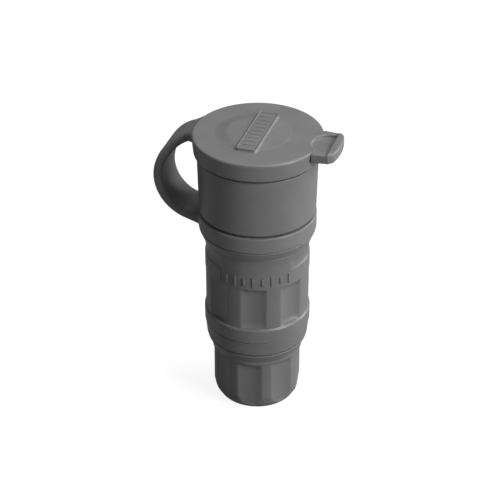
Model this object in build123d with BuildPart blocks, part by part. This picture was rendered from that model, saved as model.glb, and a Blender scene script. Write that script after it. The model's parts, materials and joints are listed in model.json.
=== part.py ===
from build123d import *
from math import atan2, cos, degrees, radians, sin, sqrt, tan
import os

# Watertight locking plug: rubber-skinned housing, flip-over closure cap on a strap, cord nut at the foot.
# The axis is +Z, the origin is the centre of the cord hole at the foot, the cap's tab points along +X.
# Lengths are in millimetres and angles in degrees.

# Clearances and the small broken edge that most pieces share
seam_gap = 0.3
seat_gap = 0.2
slip_gap = 0.1
cap_fit = 0.3
thread_fit = 0.05
edge_break = 0.5

# Cord gland and slip washer
cord_grip_radius = 8.0
gland_wall = 6.4
gland_cone_height = 4.0
gland_nose_radius = 11.0
washer_thickness = 1.4
washer_overhang = 0.5

# Cord nut
nut_height = 32.7
nut_floor = 4.0
cord_hole_radius = 10.5
nut_wall = 3.1
nut_foot_taper = 2.0
nut_foot_rise = 3.0
nut_crown_height = 6.5
nut_crown_step = 0.6
nut_collar_height = 2.0
nut_rim_wall = 5.9
nut_rim_height = 0.7
nut_flute_sweep = 32.0
nut_flute_depth = 1.35
nut_flute_start = 2.4
nut_flute_turn = 7.3

# Body shell, from its threaded spigot up to the cone under the strap ring
spigot_wall = 2.5
thread_length = 12.0
thread_relief = 0.5
throat_depth = 4.5
throat_length = 6.5
skirt_height = 7.3
skirt_step = 0.4
skirt_taper = 0.6
groove_width = 0.5
groove_depth = 0.35
groove_slope = 0.15
lower_band_height = 6.6
lower_band_step = 0.3
ledge_height = 0.8
body_wall = 4.9
flute_height = 21.2
flute_count = 8
body_flute_sweep = 28.5
body_flute_depth = 1.5
body_flute_turn = 13.0
upper_band_height = 7.6
upper_band_step = 0.4
band_slope = 0.5
waist_height = 3.0
waist_wall = 4.7
cone_height = 9.9
cone_line_rise = 5.8
cone_line_inset = 1.5
cone_line_depth = 0.17
shoulder_inset = 0.1
socket_step = 0.9
clamp_ledge_rise = 19.0
clamp_ledge_width = 3.0

# Strap ring
ring_height = 8.2
ring_stand = 0.5
ring_edge = 0.9
lug_stand = 1.1
lug_foot = 0.5

# Front collar
hood_radius = 22.0
hood_depth = 21.8
rim_wall = 3.6
rim_step = 1.0
cap_land_height = 4.5
collar_taper = 0.6
holder_seat_rise = 1.2
lip_width = 1.2
lip_thickness = 2.0
neck_wall = 2.5
neck_depth = 6.0
seal_section = 0.7
seal_groove_rise = 1.4
seal_groove_width = 2.1

# Closure strap
strap_thickness = 4.2
strap_width = 19.0
strap_root_width = 15.0
strap_bow = 16.9
strap_lower_radius = 20.5
strap_lower_sweep = 73.0
strap_foot_rise = 0.6

# Closure cap
cap_thickness = 3.0
cap_air = 0.8
cap_skirt_wall = 2.1
cap_flare = 0.8
cap_edge_radius = 1.0
seal_bead_inset = 1.9
seal_bead_width = 1.4
seal_bead_height = 0.5
boss_offset = -2.0
boss_radius = 16.2
boss_slope = 4.4
boss_height = 0.8
plate_length = 35.0
plate_width = 9.4
plate_corner = 1.4
plate_rise = 0.5
tab_reach = 4.6
tab_root_width = 22.4
tab_tip_width = 21.0
tab_thickness = 4.2
tab_lip_length = 4.0
tab_lip_height = 4.7
tab_lip_rise = 0.5
scoop_radius = 8.0
scoop_setback = 1.2
scoop_depth = 1.3
tongue_length = 2.9
tongue_drop = 3.1
tongue_width = 18.0

# Contacts
blade_circle = 12.4
blade_thickness = 1.8
blade_sweep = 37.0
neutral_sweep = 43.0
blade_reach = 18.0
notch_sweep = 13.0
notch_height = 9.0
blade_tail = 9.5
ground_leg = 3.2
blade_turn = 45.0
blade_count = 4

# Contact holder and terminal block
holder_height = 10.0
pocket_relief = 1.3
pocket_spare = 0.5
wire_well_radius = 2.4
leg_width = 8.0
leg_depth = 5.6

# Terminal hardware and the two screws that draw the holder to the block
terminal_screw_drop = 5.0
terminal_shank_radius = 1.6
terminal_head_radius = 2.8
terminal_head_height = 1.7
terminal_slot_width = 0.8
terminal_head_air = 0.8
wire_gap = 2.6
clamp_plate_thickness = 1.0
clamp_plate_width = 8.0
clamp_plate_height = 7.0
assembly_shank_radius = 1.5
assembly_head_radius = 2.8
assembly_head_height = 2.0
assembly_head_inset = 1.5
assembly_thread_depth = 7.0

# Face gasket
gasket_thickness = 1.5
gasket_width = 4.4

# Cord clamp
clamp_height = 10.0
clamp_arch_wall = 4.0
clamp_split = 1.2
clamp_ear_inset = 1.7
clamp_ear_depth = 6.5
clamp_screw_inset = 3.8
clamp_shank_radius = 1.5
clamp_head_radius = 2.5
clamp_head_height = 1.7
clamp_nut_flats = 4.8
clamp_nut_height = 2.2

# Radii that follow from the cord: gland, spigot and nut
gland_radius = cord_grip_radius + gland_wall
washer_radius = gland_radius + washer_overhang
spigot_bore = gland_radius + slip_gap
thread_radius = spigot_bore + spigot_wall
nut_land_radius = thread_radius + nut_wall
nut_foot_radius = nut_land_radius - nut_foot_taper
nut_crown_radius = nut_land_radius + nut_crown_step
nut_rim_radius = thread_radius + nut_rim_wall
skirt_foot_radius = nut_rim_radius + skirt_step
skirt_radius = skirt_foot_radius + skirt_taper
lower_band_radius = skirt_radius + lower_band_step

# Radii that follow from the blades and their terminals: neck, block and shell
blade_inner = blade_circle - blade_thickness / 2
blade_outer = blade_circle + blade_thickness / 2
screw_head_foot = blade_outer + wire_gap + clamp_plate_thickness
pocket_inner = blade_inner - pocket_relief
pocket_width = 2 * blade_outer * sin(radians(neutral_sweep / 2)) + 2 * seam_gap
neck_bore = screw_head_foot + terminal_head_height + terminal_head_air
neck_radius = neck_bore + neck_wall
lip_radius = neck_bore - lip_width
pilot_radius = lip_radius - seat_gap
block_radius = neck_bore - seam_gap
wire_space_radius = neck_bore - socket_step
assembly_circle = wire_space_radius - assembly_head_inset - assembly_head_radius
body_radius = wire_space_radius + body_wall
upper_band_radius = body_radius + upper_band_step
waist_radius = wire_space_radius + waist_wall
clamp_ledge_radius = wire_space_radius - clamp_ledge_width
clamp_ear_reach = wire_space_radius - clamp_ear_inset
clamp_screw_reach = clamp_ear_reach - clamp_screw_inset
clamp_bore = cord_grip_radius + seat_gap
clamp_arch_radius = clamp_bore + clamp_arch_wall

# Radii that follow from the hood: holder, rim, cap, ring and shoulder
holder_radius = hood_radius - seat_gap
gasket_radius = hood_radius - slip_gap
cap_land_radius = hood_radius + rim_wall
collar_rim_radius = cap_land_radius + rim_step
collar_foot_radius = collar_rim_radius - collar_taper
ring_radius = collar_foot_radius + ring_stand
lug_reach = ring_radius + lug_stand
shoulder_radius = ring_radius - shoulder_inset
cone_line_radius = shoulder_radius - cone_line_inset
seal_bead_radius = hood_radius + seal_bead_inset
skirt_bore = cap_land_radius + cap_fit
cap_skirt_radius = skirt_bore + cap_skirt_wall
cap_radius = cap_skirt_radius + cap_flare
tongue_reach = cap_radius + tongue_length
strap_reach = cap_radius + strap_bow
lip_inner_reach = cap_radius + tab_reach

# Levels along the axis
shell_foot = nut_height + seam_gap
spigot_foot = shell_foot - thread_length
nut_pocket_top = spigot_foot - thread_relief
nut_crown_level = nut_height - nut_crown_height
washer_top = nut_floor + washer_thickness
throat_foot = shell_foot - throat_depth
throat_top = throat_foot + throat_length
gland_top = throat_foot - slip_gap
clamp_ledge_level = shell_foot + clamp_ledge_rise
clamp_mid = clamp_ledge_level + clamp_height / 2
clamp_top = clamp_ledge_level + clamp_height
skirt_top = shell_foot + skirt_height
band_foot = skirt_top + groove_width
band_top = band_foot + lower_band_height
flute_foot = band_top + ledge_height
flute_top = flute_foot + flute_height
upper_band_top = flute_top + upper_band_height
waist_foot = upper_band_top + band_slope
waist_top = waist_foot + waist_height
cone_line = waist_top + cone_line_rise
shell_top = waist_top + cone_height
ring_top = shell_top + ring_height
neck_foot = shell_top - neck_depth
socket_floor = neck_foot - seat_gap
groove_foot = neck_foot + seal_groove_rise
groove_top = groove_foot + seal_groove_width
collar_foot = ring_top + seam_gap
holder_foot = collar_foot + holder_seat_rise
lip_foot = holder_foot - lip_thickness
hood_floor = holder_foot + holder_height
collar_top = hood_floor + hood_depth
collar_shoulder = collar_top - cap_land_height
block_foot = neck_foot + seam_gap
blade_foot = lip_foot - blade_tail
blade_tip = hood_floor + blade_reach
pocket_floor = blade_foot - pocket_spare
screw_level = lip_foot - terminal_screw_drop
cap_skirt_foot = collar_shoulder + cap_fit
cap_underside = collar_top + cap_air
cap_top = cap_underside + cap_thickness
boss_top = cap_top + boss_height
plate_top = boss_top + plate_rise
tongue_level = cap_top - tongue_drop

os.makedirs("parts", exist_ok=True)


def flute_cutter(land_radius, sweep, depth):
    """Radius of the round cutter that sinks one scoop, and how far from the axis it stands."""
    half_chord = land_radius * sin(radians(sweep / 2))
    sagitta = depth - land_radius * (1 - cos(radians(sweep / 2)))
    radius = (half_chord**2 + sagitta**2) / (2 * sagitta)
    return radius, land_radius - depth + radius


def save(part, name):
    """Label a finished piece and write it under its own name."""
    part.label = name
    export_step(part, f"parts/{name}.step")


# Cord nut: fluted compression nut with an inner floor that pushes the washer against the gland
nut_bore = thread_radius + thread_fit
nut_pocket_radius = washer_radius + cap_fit
with BuildPart() as cord_nut:
    with BuildSketch(Plane.XZ) as nut_section:
        with BuildLine():
            Polyline(
                (cord_hole_radius, 0),
                (nut_foot_radius, 0),
                (nut_land_radius - edge_break, nut_foot_rise),
                (nut_land_radius, 2 * nut_foot_rise),
                (nut_land_radius, nut_crown_level - edge_break),
                (nut_crown_radius, nut_crown_level),
                (nut_crown_radius, nut_crown_level + nut_collar_height),
                (nut_rim_radius, nut_height - nut_rim_height),
                (nut_rim_radius, nut_height),
                (nut_bore, nut_height),
                (nut_bore, nut_pocket_top),
                (nut_pocket_radius, nut_pocket_top),
                (nut_pocket_radius, nut_floor),
                (cord_hole_radius, nut_floor),
                close=True,
            )
        make_face()
    revolve(axis=Axis.Z)
    nut_cutter = flute_cutter(nut_land_radius, nut_flute_sweep, nut_flute_depth)
    with BuildSketch(Plane.XY.offset(nut_flute_start)) as nut_flutes:
        with PolarLocations(nut_cutter[1], flute_count, start_angle=nut_flute_turn):
            Circle(nut_cutter[0])
    extrude(amount=nut_crown_level - edge_break - nut_flute_start, mode=Mode.SUBTRACT)
    foot_edges = cord_nut.edges().filter_by(GeomType.CIRCLE).group_by(Axis.Z)[0]
    fillet(foot_edges.sort_by(SortBy.RADIUS)[-1], radius=edge_break)
save(cord_nut.part, "cord_nut")

# Slip washer: lets the nut turn without dragging the gland round
with BuildPart() as slip_washer:
    with BuildSketch(Plane.XY.offset(nut_floor)):
        Circle(washer_radius)
        Circle(cord_hole_radius, mode=Mode.SUBTRACT)
    extrude(amount=washer_thickness)
save(slip_washer.part, "slip_washer")

# Cord gland: rubber bush with a conical nose that the nut squeezes onto the cord
with BuildPart() as cord_gland:
    with BuildSketch(Plane.XZ):
        with BuildLine():
            Polyline(
                (cord_grip_radius, washer_top),
                (gland_radius, washer_top),
                (gland_radius, gland_top - gland_cone_height),
                (gland_nose_radius, gland_top),
                (cord_grip_radius, gland_top),
                close=True,
            )
        make_face()
    revolve(axis=Axis.Z)
save(cord_gland.part, "cord_gland")

# Body shell: threaded spigot, banded and fluted housing, cone up to the strap ring.
# The two flute places on the mould's parting line stay plain.
ledge_flare = throat_top + clamp_ledge_radius - gland_nose_radius
with BuildPart() as body_shell:
    with BuildSketch(Plane.XZ) as shell_section:
        with BuildLine():
            Polyline(
                (spigot_bore, spigot_foot),
                (thread_radius - edge_break, spigot_foot),
                (thread_radius, spigot_foot + edge_break),
                (thread_radius, shell_foot),
                (skirt_foot_radius - edge_break, shell_foot),
                (skirt_foot_radius, shell_foot + edge_break),
                (skirt_radius, skirt_top),
                (skirt_radius - groove_depth, skirt_top + groove_slope),
                (skirt_radius - groove_depth, band_foot - groove_slope),
                (lower_band_radius, band_foot + groove_slope),
                (lower_band_radius, band_top),
                (body_radius, flute_foot),
                (body_radius, flute_top),
                (upper_band_radius, flute_top),
                (upper_band_radius, upper_band_top),
                (waist_radius, waist_foot),
                (waist_radius, waist_top),
                (cone_line_radius, cone_line),
                (cone_line_radius - cone_line_depth, cone_line + groove_slope),
                (cone_line_radius + cone_line_depth, cone_line + groove_width),
                (shoulder_radius, shell_top - edge_break),
                (shoulder_radius - edge_break, shell_top),
                (neck_radius + thread_fit, shell_top),
                (neck_radius + thread_fit, socket_floor),
                (wire_space_radius, socket_floor),
                (wire_space_radius, clamp_ledge_level),
                (clamp_ledge_radius, clamp_ledge_level),
                (clamp_ledge_radius, ledge_flare),
                (gland_nose_radius, throat_top),
                (gland_nose_radius, throat_foot),
                (spigot_bore, throat_foot - gland_cone_height),
                close=True,
            )
        make_face()
    revolve(axis=Axis.Z)
    cutter_radius, cutter_circle = flute_cutter(body_radius, body_flute_sweep, body_flute_depth)
    flute_angles = [body_flute_turn + step * 360 / flute_count for step in range(flute_count)]
    with BuildSketch(Plane.XY.offset(flute_foot)) as body_flutes:
        for step, angle in enumerate(flute_angles):
            if step % (flute_count // 2):
                with PolarLocations(cutter_circle, 1, start_angle=angle):
                    Circle(cutter_radius)
    extrude(amount=flute_height, mode=Mode.SUBTRACT)
save(body_shell.part, "body_shell")

# Strap ring: rubber ring held between the shell and the collar, with a lug that the strap grows from
foot_slope = 90 - strap_lower_sweep
strap_foot_level = shell_top + strap_foot_rise
lug_top = strap_foot_level + strap_thickness / cos(radians(foot_slope))
with BuildPart() as strap_ring:
    with BuildSketch(Plane.XY.offset(shell_top)):
        Circle(ring_radius)
    extrude(amount=ring_height)
    ring_rims = strap_ring.edges().filter_by(GeomType.CIRCLE)
    fillet(ring_rims.group_by(Axis.Z)[-1], radius=ring_edge)
    chamfer(strap_ring.edges().filter_by(GeomType.CIRCLE).group_by(Axis.Z)[0], length=edge_break)
    with BuildSketch(Plane.XY.offset(shell_top + lug_foot)):
        with Locations((-lug_reach, 0)):
            Rectangle(lug_reach, strap_width, align=(Align.MIN, Align.CENTER))
    extrude(amount=lug_top - shell_top - lug_foot)
    with BuildSketch(Plane.XY.offset(shell_top)):
        Circle(neck_radius + slip_gap)
    extrude(amount=ring_height, mode=Mode.SUBTRACT)
save(strap_ring.part, "strap_ring")

# Closure strap: flat band that leaves the cap, bows out and comes back to the ring's lug
arc_foot_reach = strap_reach - strap_lower_radius * (1 - cos(radians(strap_lower_sweep)))
arc_foot_level = strap_foot_level + (arc_foot_reach - lug_reach) * tan(radians(foot_slope))
turn_level = arc_foot_level + strap_lower_radius * sin(radians(strap_lower_sweep))
upper_rise = tongue_level - turn_level
upper_run = strap_reach - tongue_reach
strap_upper_radius = (upper_run**2 + upper_rise**2) / (2 * upper_run)
upper_centre = (strap_upper_radius - strap_reach, turn_level)
lower_centre = (strap_lower_radius - strap_reach, turn_level)


def strap_side_lines(inset):
    """One side of the strap's section: upper arc, lower arc and the straight run to the lug."""
    upper = strap_upper_radius - inset
    lower = strap_lower_radius - inset
    tongue_run = -tongue_reach - upper_centre[0]
    tongue_angle = degrees(atan2(sqrt(upper**2 - tongue_run**2), tongue_run))
    top = CenterArc(upper_centre, upper, 180, tongue_angle - 180)
    bottom = CenterArc(lower_centre, lower, 180, strap_lower_sweep)
    fall = (bottom @ 1).X + lug_reach
    foot = Line(bottom @ 1, (-lug_reach, (bottom @ 1).Y + fall * tan(radians(foot_slope))))
    return top, foot


with BuildPart() as closure_strap:
    with BuildSketch(Plane.XZ) as strap_section:
        with BuildLine():
            outer_top, outer_foot = strap_side_lines(0)
            inner_top, inner_foot = strap_side_lines(strap_thickness)
            Line(outer_top @ 1, inner_top @ 1)
            Line(outer_foot @ 1, inner_foot @ 1)
        make_face()
    extrude(amount=max(strap_width, strap_root_width) / 2, both=True)
    with BuildSketch(Plane.YZ) as strap_front:
        with BuildLine():
            Polyline(
                (-strap_width / 2, shell_top),
                (strap_width / 2, shell_top),
                (strap_width / 2, turn_level + upper_rise / 2),
                (strap_root_width / 2, tongue_level - strap_thickness),
                (strap_root_width / 2, cap_top),
                (-strap_root_width / 2, cap_top),
                (-strap_root_width / 2, tongue_level - strap_thickness),
                (-strap_width / 2, turn_level + upper_rise / 2),
                close=True,
            )
        make_face()
    extrude(amount=-2 * strap_reach, mode=Mode.INTERSECT)
save(closure_strap.part, "closure_strap")

# Closure cap: domed-edge lid with a skirt, a raised round boss, a plain plate, a pull tab and the strap's tongue
tongue_under = tongue_level - strap_thickness - seat_gap
with BuildPart() as closure_cap:
    with BuildSketch(Plane.XZ) as cap_section:
        with BuildLine():
            Polyline(
                (0, cap_underside),
                (seal_bead_radius - seal_bead_width / 2, cap_underside),
                (seal_bead_radius - seal_bead_width / 4, cap_underside - seal_bead_height),
                (seal_bead_radius + seal_bead_width / 4, cap_underside - seal_bead_height),
                (seal_bead_radius + seal_bead_width / 2, cap_underside),
                (skirt_bore, cap_underside),
                (skirt_bore, cap_skirt_foot),
                (cap_skirt_radius - edge_break, cap_skirt_foot),
                (cap_skirt_radius, cap_skirt_foot + edge_break),
                (cap_radius, cap_top),
                (0, cap_top),
                close=True,
            )
        make_face()
    revolve(axis=Axis.Z)
    cap_rim = closure_cap.edges().filter_by(GeomType.CIRCLE).group_by(Axis.Z)[-1]
    fillet(cap_rim, radius=cap_edge_radius)
    with BuildSketch(Plane.XY.offset(cap_top - tab_thickness)) as tab_outline:
        with BuildLine():
            Polyline(
                (skirt_bore + seam_gap, -tab_root_width / 2),
                (lip_inner_reach, -tab_tip_width / 2),
                (lip_inner_reach, tab_tip_width / 2),
                (skirt_bore + seam_gap, tab_root_width / 2),
                close=True,
            )
        make_face()
    extrude(amount=tab_thickness)
    with BuildSketch(Plane.XY.offset(cap_top + tab_lip_rise - tab_lip_height)) as tab_lip:
        with Locations((lip_inner_reach, 0)):
            Rectangle(tab_lip_length, tab_tip_width, align=(Align.MIN, Align.CENTER))
        fillet(tab_lip.vertices().group_by(Axis.X)[-1], radius=tab_lip_length - edge_break)
    extrude(amount=tab_lip_height)
    with BuildSketch(Plane.XY.offset(cap_top)) as scoop:
        with Locations((lip_inner_reach - scoop_setback, 0)):
            Circle(scoop_radius)
        with Locations((lip_inner_reach, 0)):
            Rectangle(2 * scoop_radius, 2 * scoop_radius, align=(Align.MAX, Align.CENTER), mode=Mode.INTERSECT)
    extrude(amount=-scoop_depth, mode=Mode.SUBTRACT)
    with BuildSketch(Plane.XY.offset(tongue_under)) as tongue:
        with BuildLine():
            Polyline(
                (-skirt_bore - seam_gap, -tongue_width / 2),
                (-tongue_reach, -strap_root_width / 2),
                (-tongue_reach, strap_root_width / 2),
                (-skirt_bore - seam_gap, tongue_width / 2),
                close=True,
            )
        make_face()
    extrude(amount=tongue_level + seat_gap - tongue_under)
    with BuildSketch(Plane.XY.offset(cap_top)) as boss_foot:
        with Locations((boss_offset, 0)):
            Circle(boss_radius)
    with BuildSketch(Plane.XY.offset(boss_top)) as boss_crown:
        with Locations((boss_offset, 0)):
            Circle(boss_radius - boss_slope)
    loft()
    with BuildSketch(Plane.XY.offset(cap_top)) as plate:
        RectangleRounded(plate_width, plate_length, plate_corner)
    extrude(amount=plate_top - cap_top)
save(closure_cap.part, "closure_cap")

# Front collar: hood round the blades, with a neck that carries the strap ring and screws into the shell
groove_bore = neck_radius - 2 * seal_section
with BuildPart() as front_collar:
    with BuildSketch(Plane.XZ) as collar_section:
        with BuildLine():
            Polyline(
                (neck_bore, neck_foot),
                (neck_radius - edge_break, neck_foot),
                (neck_radius, neck_foot + edge_break),
                (neck_radius, groove_foot),
                (groove_bore, groove_foot),
                (groove_bore, groove_top),
                (neck_radius, groove_top),
                (neck_radius, collar_foot),
                (collar_foot_radius - edge_break, collar_foot),
                (collar_foot_radius, collar_foot + edge_break),
                (collar_rim_radius, collar_shoulder - edge_break),
                (collar_rim_radius - edge_break, collar_shoulder),
                (cap_land_radius, collar_shoulder),
                (cap_land_radius, collar_top - edge_break),
                (cap_land_radius - edge_break, collar_top),
                (hood_radius + edge_break, collar_top),
                (hood_radius, collar_top - edge_break),
                (hood_radius, holder_foot),
                (lip_radius, holder_foot),
                (lip_radius, lip_foot),
                (neck_bore, lip_foot),
                close=True,
            )
        make_face()
    revolve(axis=Axis.Z)
save(front_collar.part, "front_collar")

# Collar seal: round-section ring in the neck's groove
seal_circle = neck_radius - seal_section + thread_fit / 2
with BuildPart() as collar_seal:
    with BuildSketch(Plane.XZ):
        with Locations((seal_circle, (groove_foot + groove_top) / 2)):
            Circle(seal_section)
    revolve(axis=Axis.Z)
save(collar_seal.part, "collar_seal")

# Face gasket: flat ring on the hood's floor that the mating connector presses on
with BuildPart() as face_gasket:
    with BuildSketch(Plane.XY.offset(hood_floor)):
        Circle(gasket_radius)
        Circle(hood_radius - gasket_width, mode=Mode.SUBTRACT)
    extrude(amount=gasket_thickness)
save(face_gasket.part, "face_gasket")


def blade_sector(sweep, grow, start):
    """Curved plate section of a blade, sweep degrees wide from the start angle, grown by a clearance."""
    inner = blade_inner - grow
    outer = blade_outer + grow
    spare = degrees(grow / blade_circle)
    with BuildSketch() as sector:
        with BuildLine():
            inner_arc = CenterArc((0, 0), inner, start - spare, sweep + 2 * spare)
            outer_arc = CenterArc((0, 0), outer, start - spare, sweep + 2 * spare)
            Line(inner_arc @ 0, outer_arc @ 0)
            Line(inner_arc @ 1, outer_arc @ 1)
        make_face()
    return sector.sketch


# Blades: stamped curved plates with a locking notch under the tip and a drilled tail behind the holder
blade_names = ["blade_line_1", "blade_line_2", "blade_neutral", "blade_ground"]
blade_sweeps = [blade_sweep, blade_sweep, neutral_sweep, blade_sweep]
blade_angles = [blade_turn + step * 360 / blade_count for step in range(blade_count)]
for name, sweep, angle in zip(blade_names, blade_sweeps, blade_angles):
    with BuildPart() as blade:
        turned = Plane.XY.rotated((0, 0, angle))
        with BuildSketch(turned.offset(blade_foot)):
            add(blade_sector(sweep, 0, -sweep / 2))
        extrude(amount=blade_tip - blade_foot)
        tip_edges = blade.faces().sort_by(Axis.Z)[-1].edges().filter_by(GeomType.CIRCLE)
        chamfer(tip_edges, length=edge_break)
        with BuildSketch(turned.offset(hood_floor)):
            add(blade_sector(notch_sweep, edge_break, -sweep / 2 - edge_break))
        extrude(amount=notch_height, mode=Mode.SUBTRACT)
        if name == "blade_ground":
            with BuildSketch(turned.offset(hood_floor)):
                with Locations(Location((0, 0, 0), (0, 0, sweep / 2))):
                    with Locations((blade_inner, 0)):
                        Rectangle(ground_leg, blade_thickness, align=(Align.MAX, Align.MAX))
            extrude(amount=blade_reach)
        with BuildSketch(Plane(turned.offset(screw_level).origin, x_dir=(0, 0, 1), z_dir=turned.x_dir)):
            Circle(terminal_shank_radius + thread_fit)
        extrude(amount=block_radius, mode=Mode.SUBTRACT)
    save(blade.part, name)

# Contact holder: moulded disc that the blades stand in, clamped to the collar's lip
with BuildPart() as contact_holder:
    with BuildSketch(Plane.XY.offset(holder_foot)):
        Circle(holder_radius)
    extrude(amount=holder_height)
    with BuildSketch(Plane.XY.offset(lip_foot)):
        Circle(pilot_radius)
    extrude(amount=lip_thickness)
    for sweep, angle in zip(blade_sweeps, blade_angles):
        with BuildSketch(Plane.XY.offset(lip_foot).rotated((0, 0, angle))):
            add(blade_sector(sweep, thread_fit, -sweep / 2))
        extrude(amount=holder_height + lip_thickness, mode=Mode.SUBTRACT)
    with BuildSketch(Plane.XY.offset(lip_foot)):
        with PolarLocations(assembly_circle, 2, start_angle=90):
            Circle(assembly_shank_radius + thread_fit)
    extrude(amount=assembly_thread_depth + slip_gap, mode=Mode.SUBTRACT)
save(contact_holder.part, "contact_holder")

# Terminal block: pockets for the blade tails, wire wells below them, and two legs down to the cord clamp
block_height = lip_foot - block_foot
wire_circle = blade_outer + wire_gap / 2
with BuildPart() as terminal_block:
    with BuildSketch(Plane.XY.offset(block_foot)):
        Circle(block_radius)
    extrude(amount=block_height)
    for angle in blade_angles:
        turned = Plane.XY.rotated((0, 0, angle))
        with BuildSketch(turned.offset(pocket_floor)):
            with Locations((pocket_inner, 0)):
                Rectangle(block_radius, pocket_width, align=(Align.MIN, Align.CENTER))
        extrude(amount=lip_foot - pocket_floor, mode=Mode.SUBTRACT)
        with BuildSketch(turned.offset(block_foot)):
            with Locations((wire_circle, 0)):
                Circle(wire_well_radius)
        extrude(amount=pocket_floor - block_foot, mode=Mode.SUBTRACT)
    with BuildSketch(Plane.XY.offset(block_foot)):
        with PolarLocations(assembly_circle, 2, start_angle=90):
            Circle(assembly_shank_radius + slip_gap)
    extrude(amount=block_height, mode=Mode.SUBTRACT)
    leg_outer = wire_space_radius - seam_gap
    with BuildSketch(Plane.XY.offset(clamp_top)) as legs:
        Circle(leg_outer)
        Rectangle(2 * leg_outer, leg_width, mode=Mode.INTERSECT)
        Rectangle(2 * (leg_outer - leg_depth), leg_width, mode=Mode.SUBTRACT)
    extrude(amount=block_foot - clamp_top)
save(terminal_block.part, "terminal_block")

# Terminal clamps and screws, one of each behind every blade
with BuildPart() as terminal_clamps:
    for angle in blade_angles:
        turned = Plane.XY.rotated((0, 0, angle))
        plate_plane = Plane(turned.offset(screw_level).origin, x_dir=turned.y_dir, z_dir=turned.x_dir)
        with BuildSketch(plate_plane.offset(screw_head_foot - clamp_plate_thickness)):
            RectangleRounded(clamp_plate_width, clamp_plate_height, edge_break)
            Circle(terminal_shank_radius + slip_gap, mode=Mode.SUBTRACT)
        extrude(amount=clamp_plate_thickness)
save(terminal_clamps.part, "terminal_clamps")

with BuildPart() as terminal_screws:
    for angle in blade_angles:
        turned = Plane.XY.rotated((0, 0, angle))
        screw_plane = Plane(turned.offset(screw_level).origin, x_dir=turned.y_dir, z_dir=turned.x_dir)
        with BuildSketch(screw_plane.offset(screw_head_foot)):
            Circle(terminal_head_radius)
        extrude(amount=terminal_head_height)
        with BuildSketch(screw_plane.offset(pocket_inner + seam_gap)):
            Circle(terminal_shank_radius)
        extrude(amount=screw_head_foot - pocket_inner - seam_gap)
        with BuildSketch(screw_plane.offset(screw_head_foot + terminal_head_height)):
            Rectangle(2 * terminal_head_radius, terminal_slot_width)
        extrude(amount=-terminal_head_height / 2, mode=Mode.SUBTRACT)
save(terminal_screws.part, "terminal_screws")

# Assembly screws: draw the holder and the terminal block together over the collar's lip
with BuildPart() as assembly_screws:
    with BuildSketch(Plane.XY.offset(block_foot)):
        with PolarLocations(assembly_circle, 2, start_angle=90):
            Circle(assembly_shank_radius)
    extrude(amount=block_height + assembly_thread_depth)
    with BuildSketch(Plane.XY.offset(block_foot - assembly_head_height)):
        with PolarLocations(assembly_circle, 2, start_angle=90):
            Circle(assembly_head_radius)
    extrude(amount=assembly_head_height)
save(assembly_screws.part, "assembly_screws")


def clamp_half(side):
    """Half of the cord clamp on the +Y or -Y side: an arch over the cord and two drilled, spot-faced ears."""
    with BuildPart() as half:
        with BuildSketch(Plane.XY.offset(clamp_ledge_level)):
            Circle(clamp_arch_radius)
            Rectangle(2 * clamp_ear_reach, 2 * clamp_ear_depth)
            Circle(clamp_bore, mode=Mode.SUBTRACT)
            with Locations((0, side * clamp_split / 2)):
                keep = (Align.CENTER, Align.MIN if side > 0 else Align.MAX)
                Rectangle(2 * clamp_ear_reach, clamp_arch_radius, align=keep, mode=Mode.INTERSECT)
        extrude(amount=clamp_height)
        with BuildSketch(Plane.XZ.offset(-clamp_arch_radius)):
            with Locations((0, clamp_mid)):
                with GridLocations(2 * clamp_screw_reach, 0, 2, 1):
                    Circle(clamp_shank_radius + slip_gap)
        extrude(amount=2 * clamp_arch_radius, mode=Mode.SUBTRACT)
        with BuildSketch(Plane.XZ.offset(-side * clamp_ear_depth)):
            with Locations((0, clamp_mid)):
                with GridLocations(2 * clamp_screw_reach, 0, 2, 1):
                    Circle(clamp_nut_flats / 2 / cos(radians(30)) + seat_gap)
        extrude(amount=-side * clamp_arch_radius, mode=Mode.SUBTRACT)
    return half.part


# Cord clamp: two halves on the shell's inner ledge, drawn together across the cord
save(clamp_half(1), "cord_clamp_front")
save(clamp_half(-1), "cord_clamp_back")

with BuildPart() as cord_clamp_screws:
    with BuildSketch(Plane.XZ.offset(-clamp_ear_depth)):
        with Locations((0, clamp_mid)):
            with GridLocations(2 * clamp_screw_reach, 0, 2, 1):
                Circle(clamp_shank_radius)
    extrude(amount=2 * clamp_ear_depth + clamp_nut_height)
    with BuildSketch(Plane.XZ.offset(-clamp_ear_depth)):
        with Locations((0, clamp_mid)):
            with GridLocations(2 * clamp_screw_reach, 0, 2, 1):
                Circle(clamp_head_radius)
    extrude(amount=-clamp_head_height)
save(cord_clamp_screws.part, "cord_clamp_screws")

with BuildPart() as cord_clamp_nuts:
    with BuildSketch(Plane.XZ.offset(clamp_ear_depth)):
        with Locations((0, clamp_mid)):
            with GridLocations(2 * clamp_screw_reach, 0, 2, 1):
                RegularPolygon(clamp_nut_flats / 2, 6, major_radius=False)
                Circle(clamp_shank_radius + slip_gap, mode=Mode.SUBTRACT)
    extrude(amount=clamp_nut_height)
save(cord_clamp_nuts.part, "cord_clamp_nuts")
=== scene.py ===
"""Looks of a watertight locking plug: moulded forms, finishes, studio and camera round the solids."""

import json
import logging
import math
from dataclasses import dataclass
from enum import Enum
from typing import Callable, ClassVar

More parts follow.
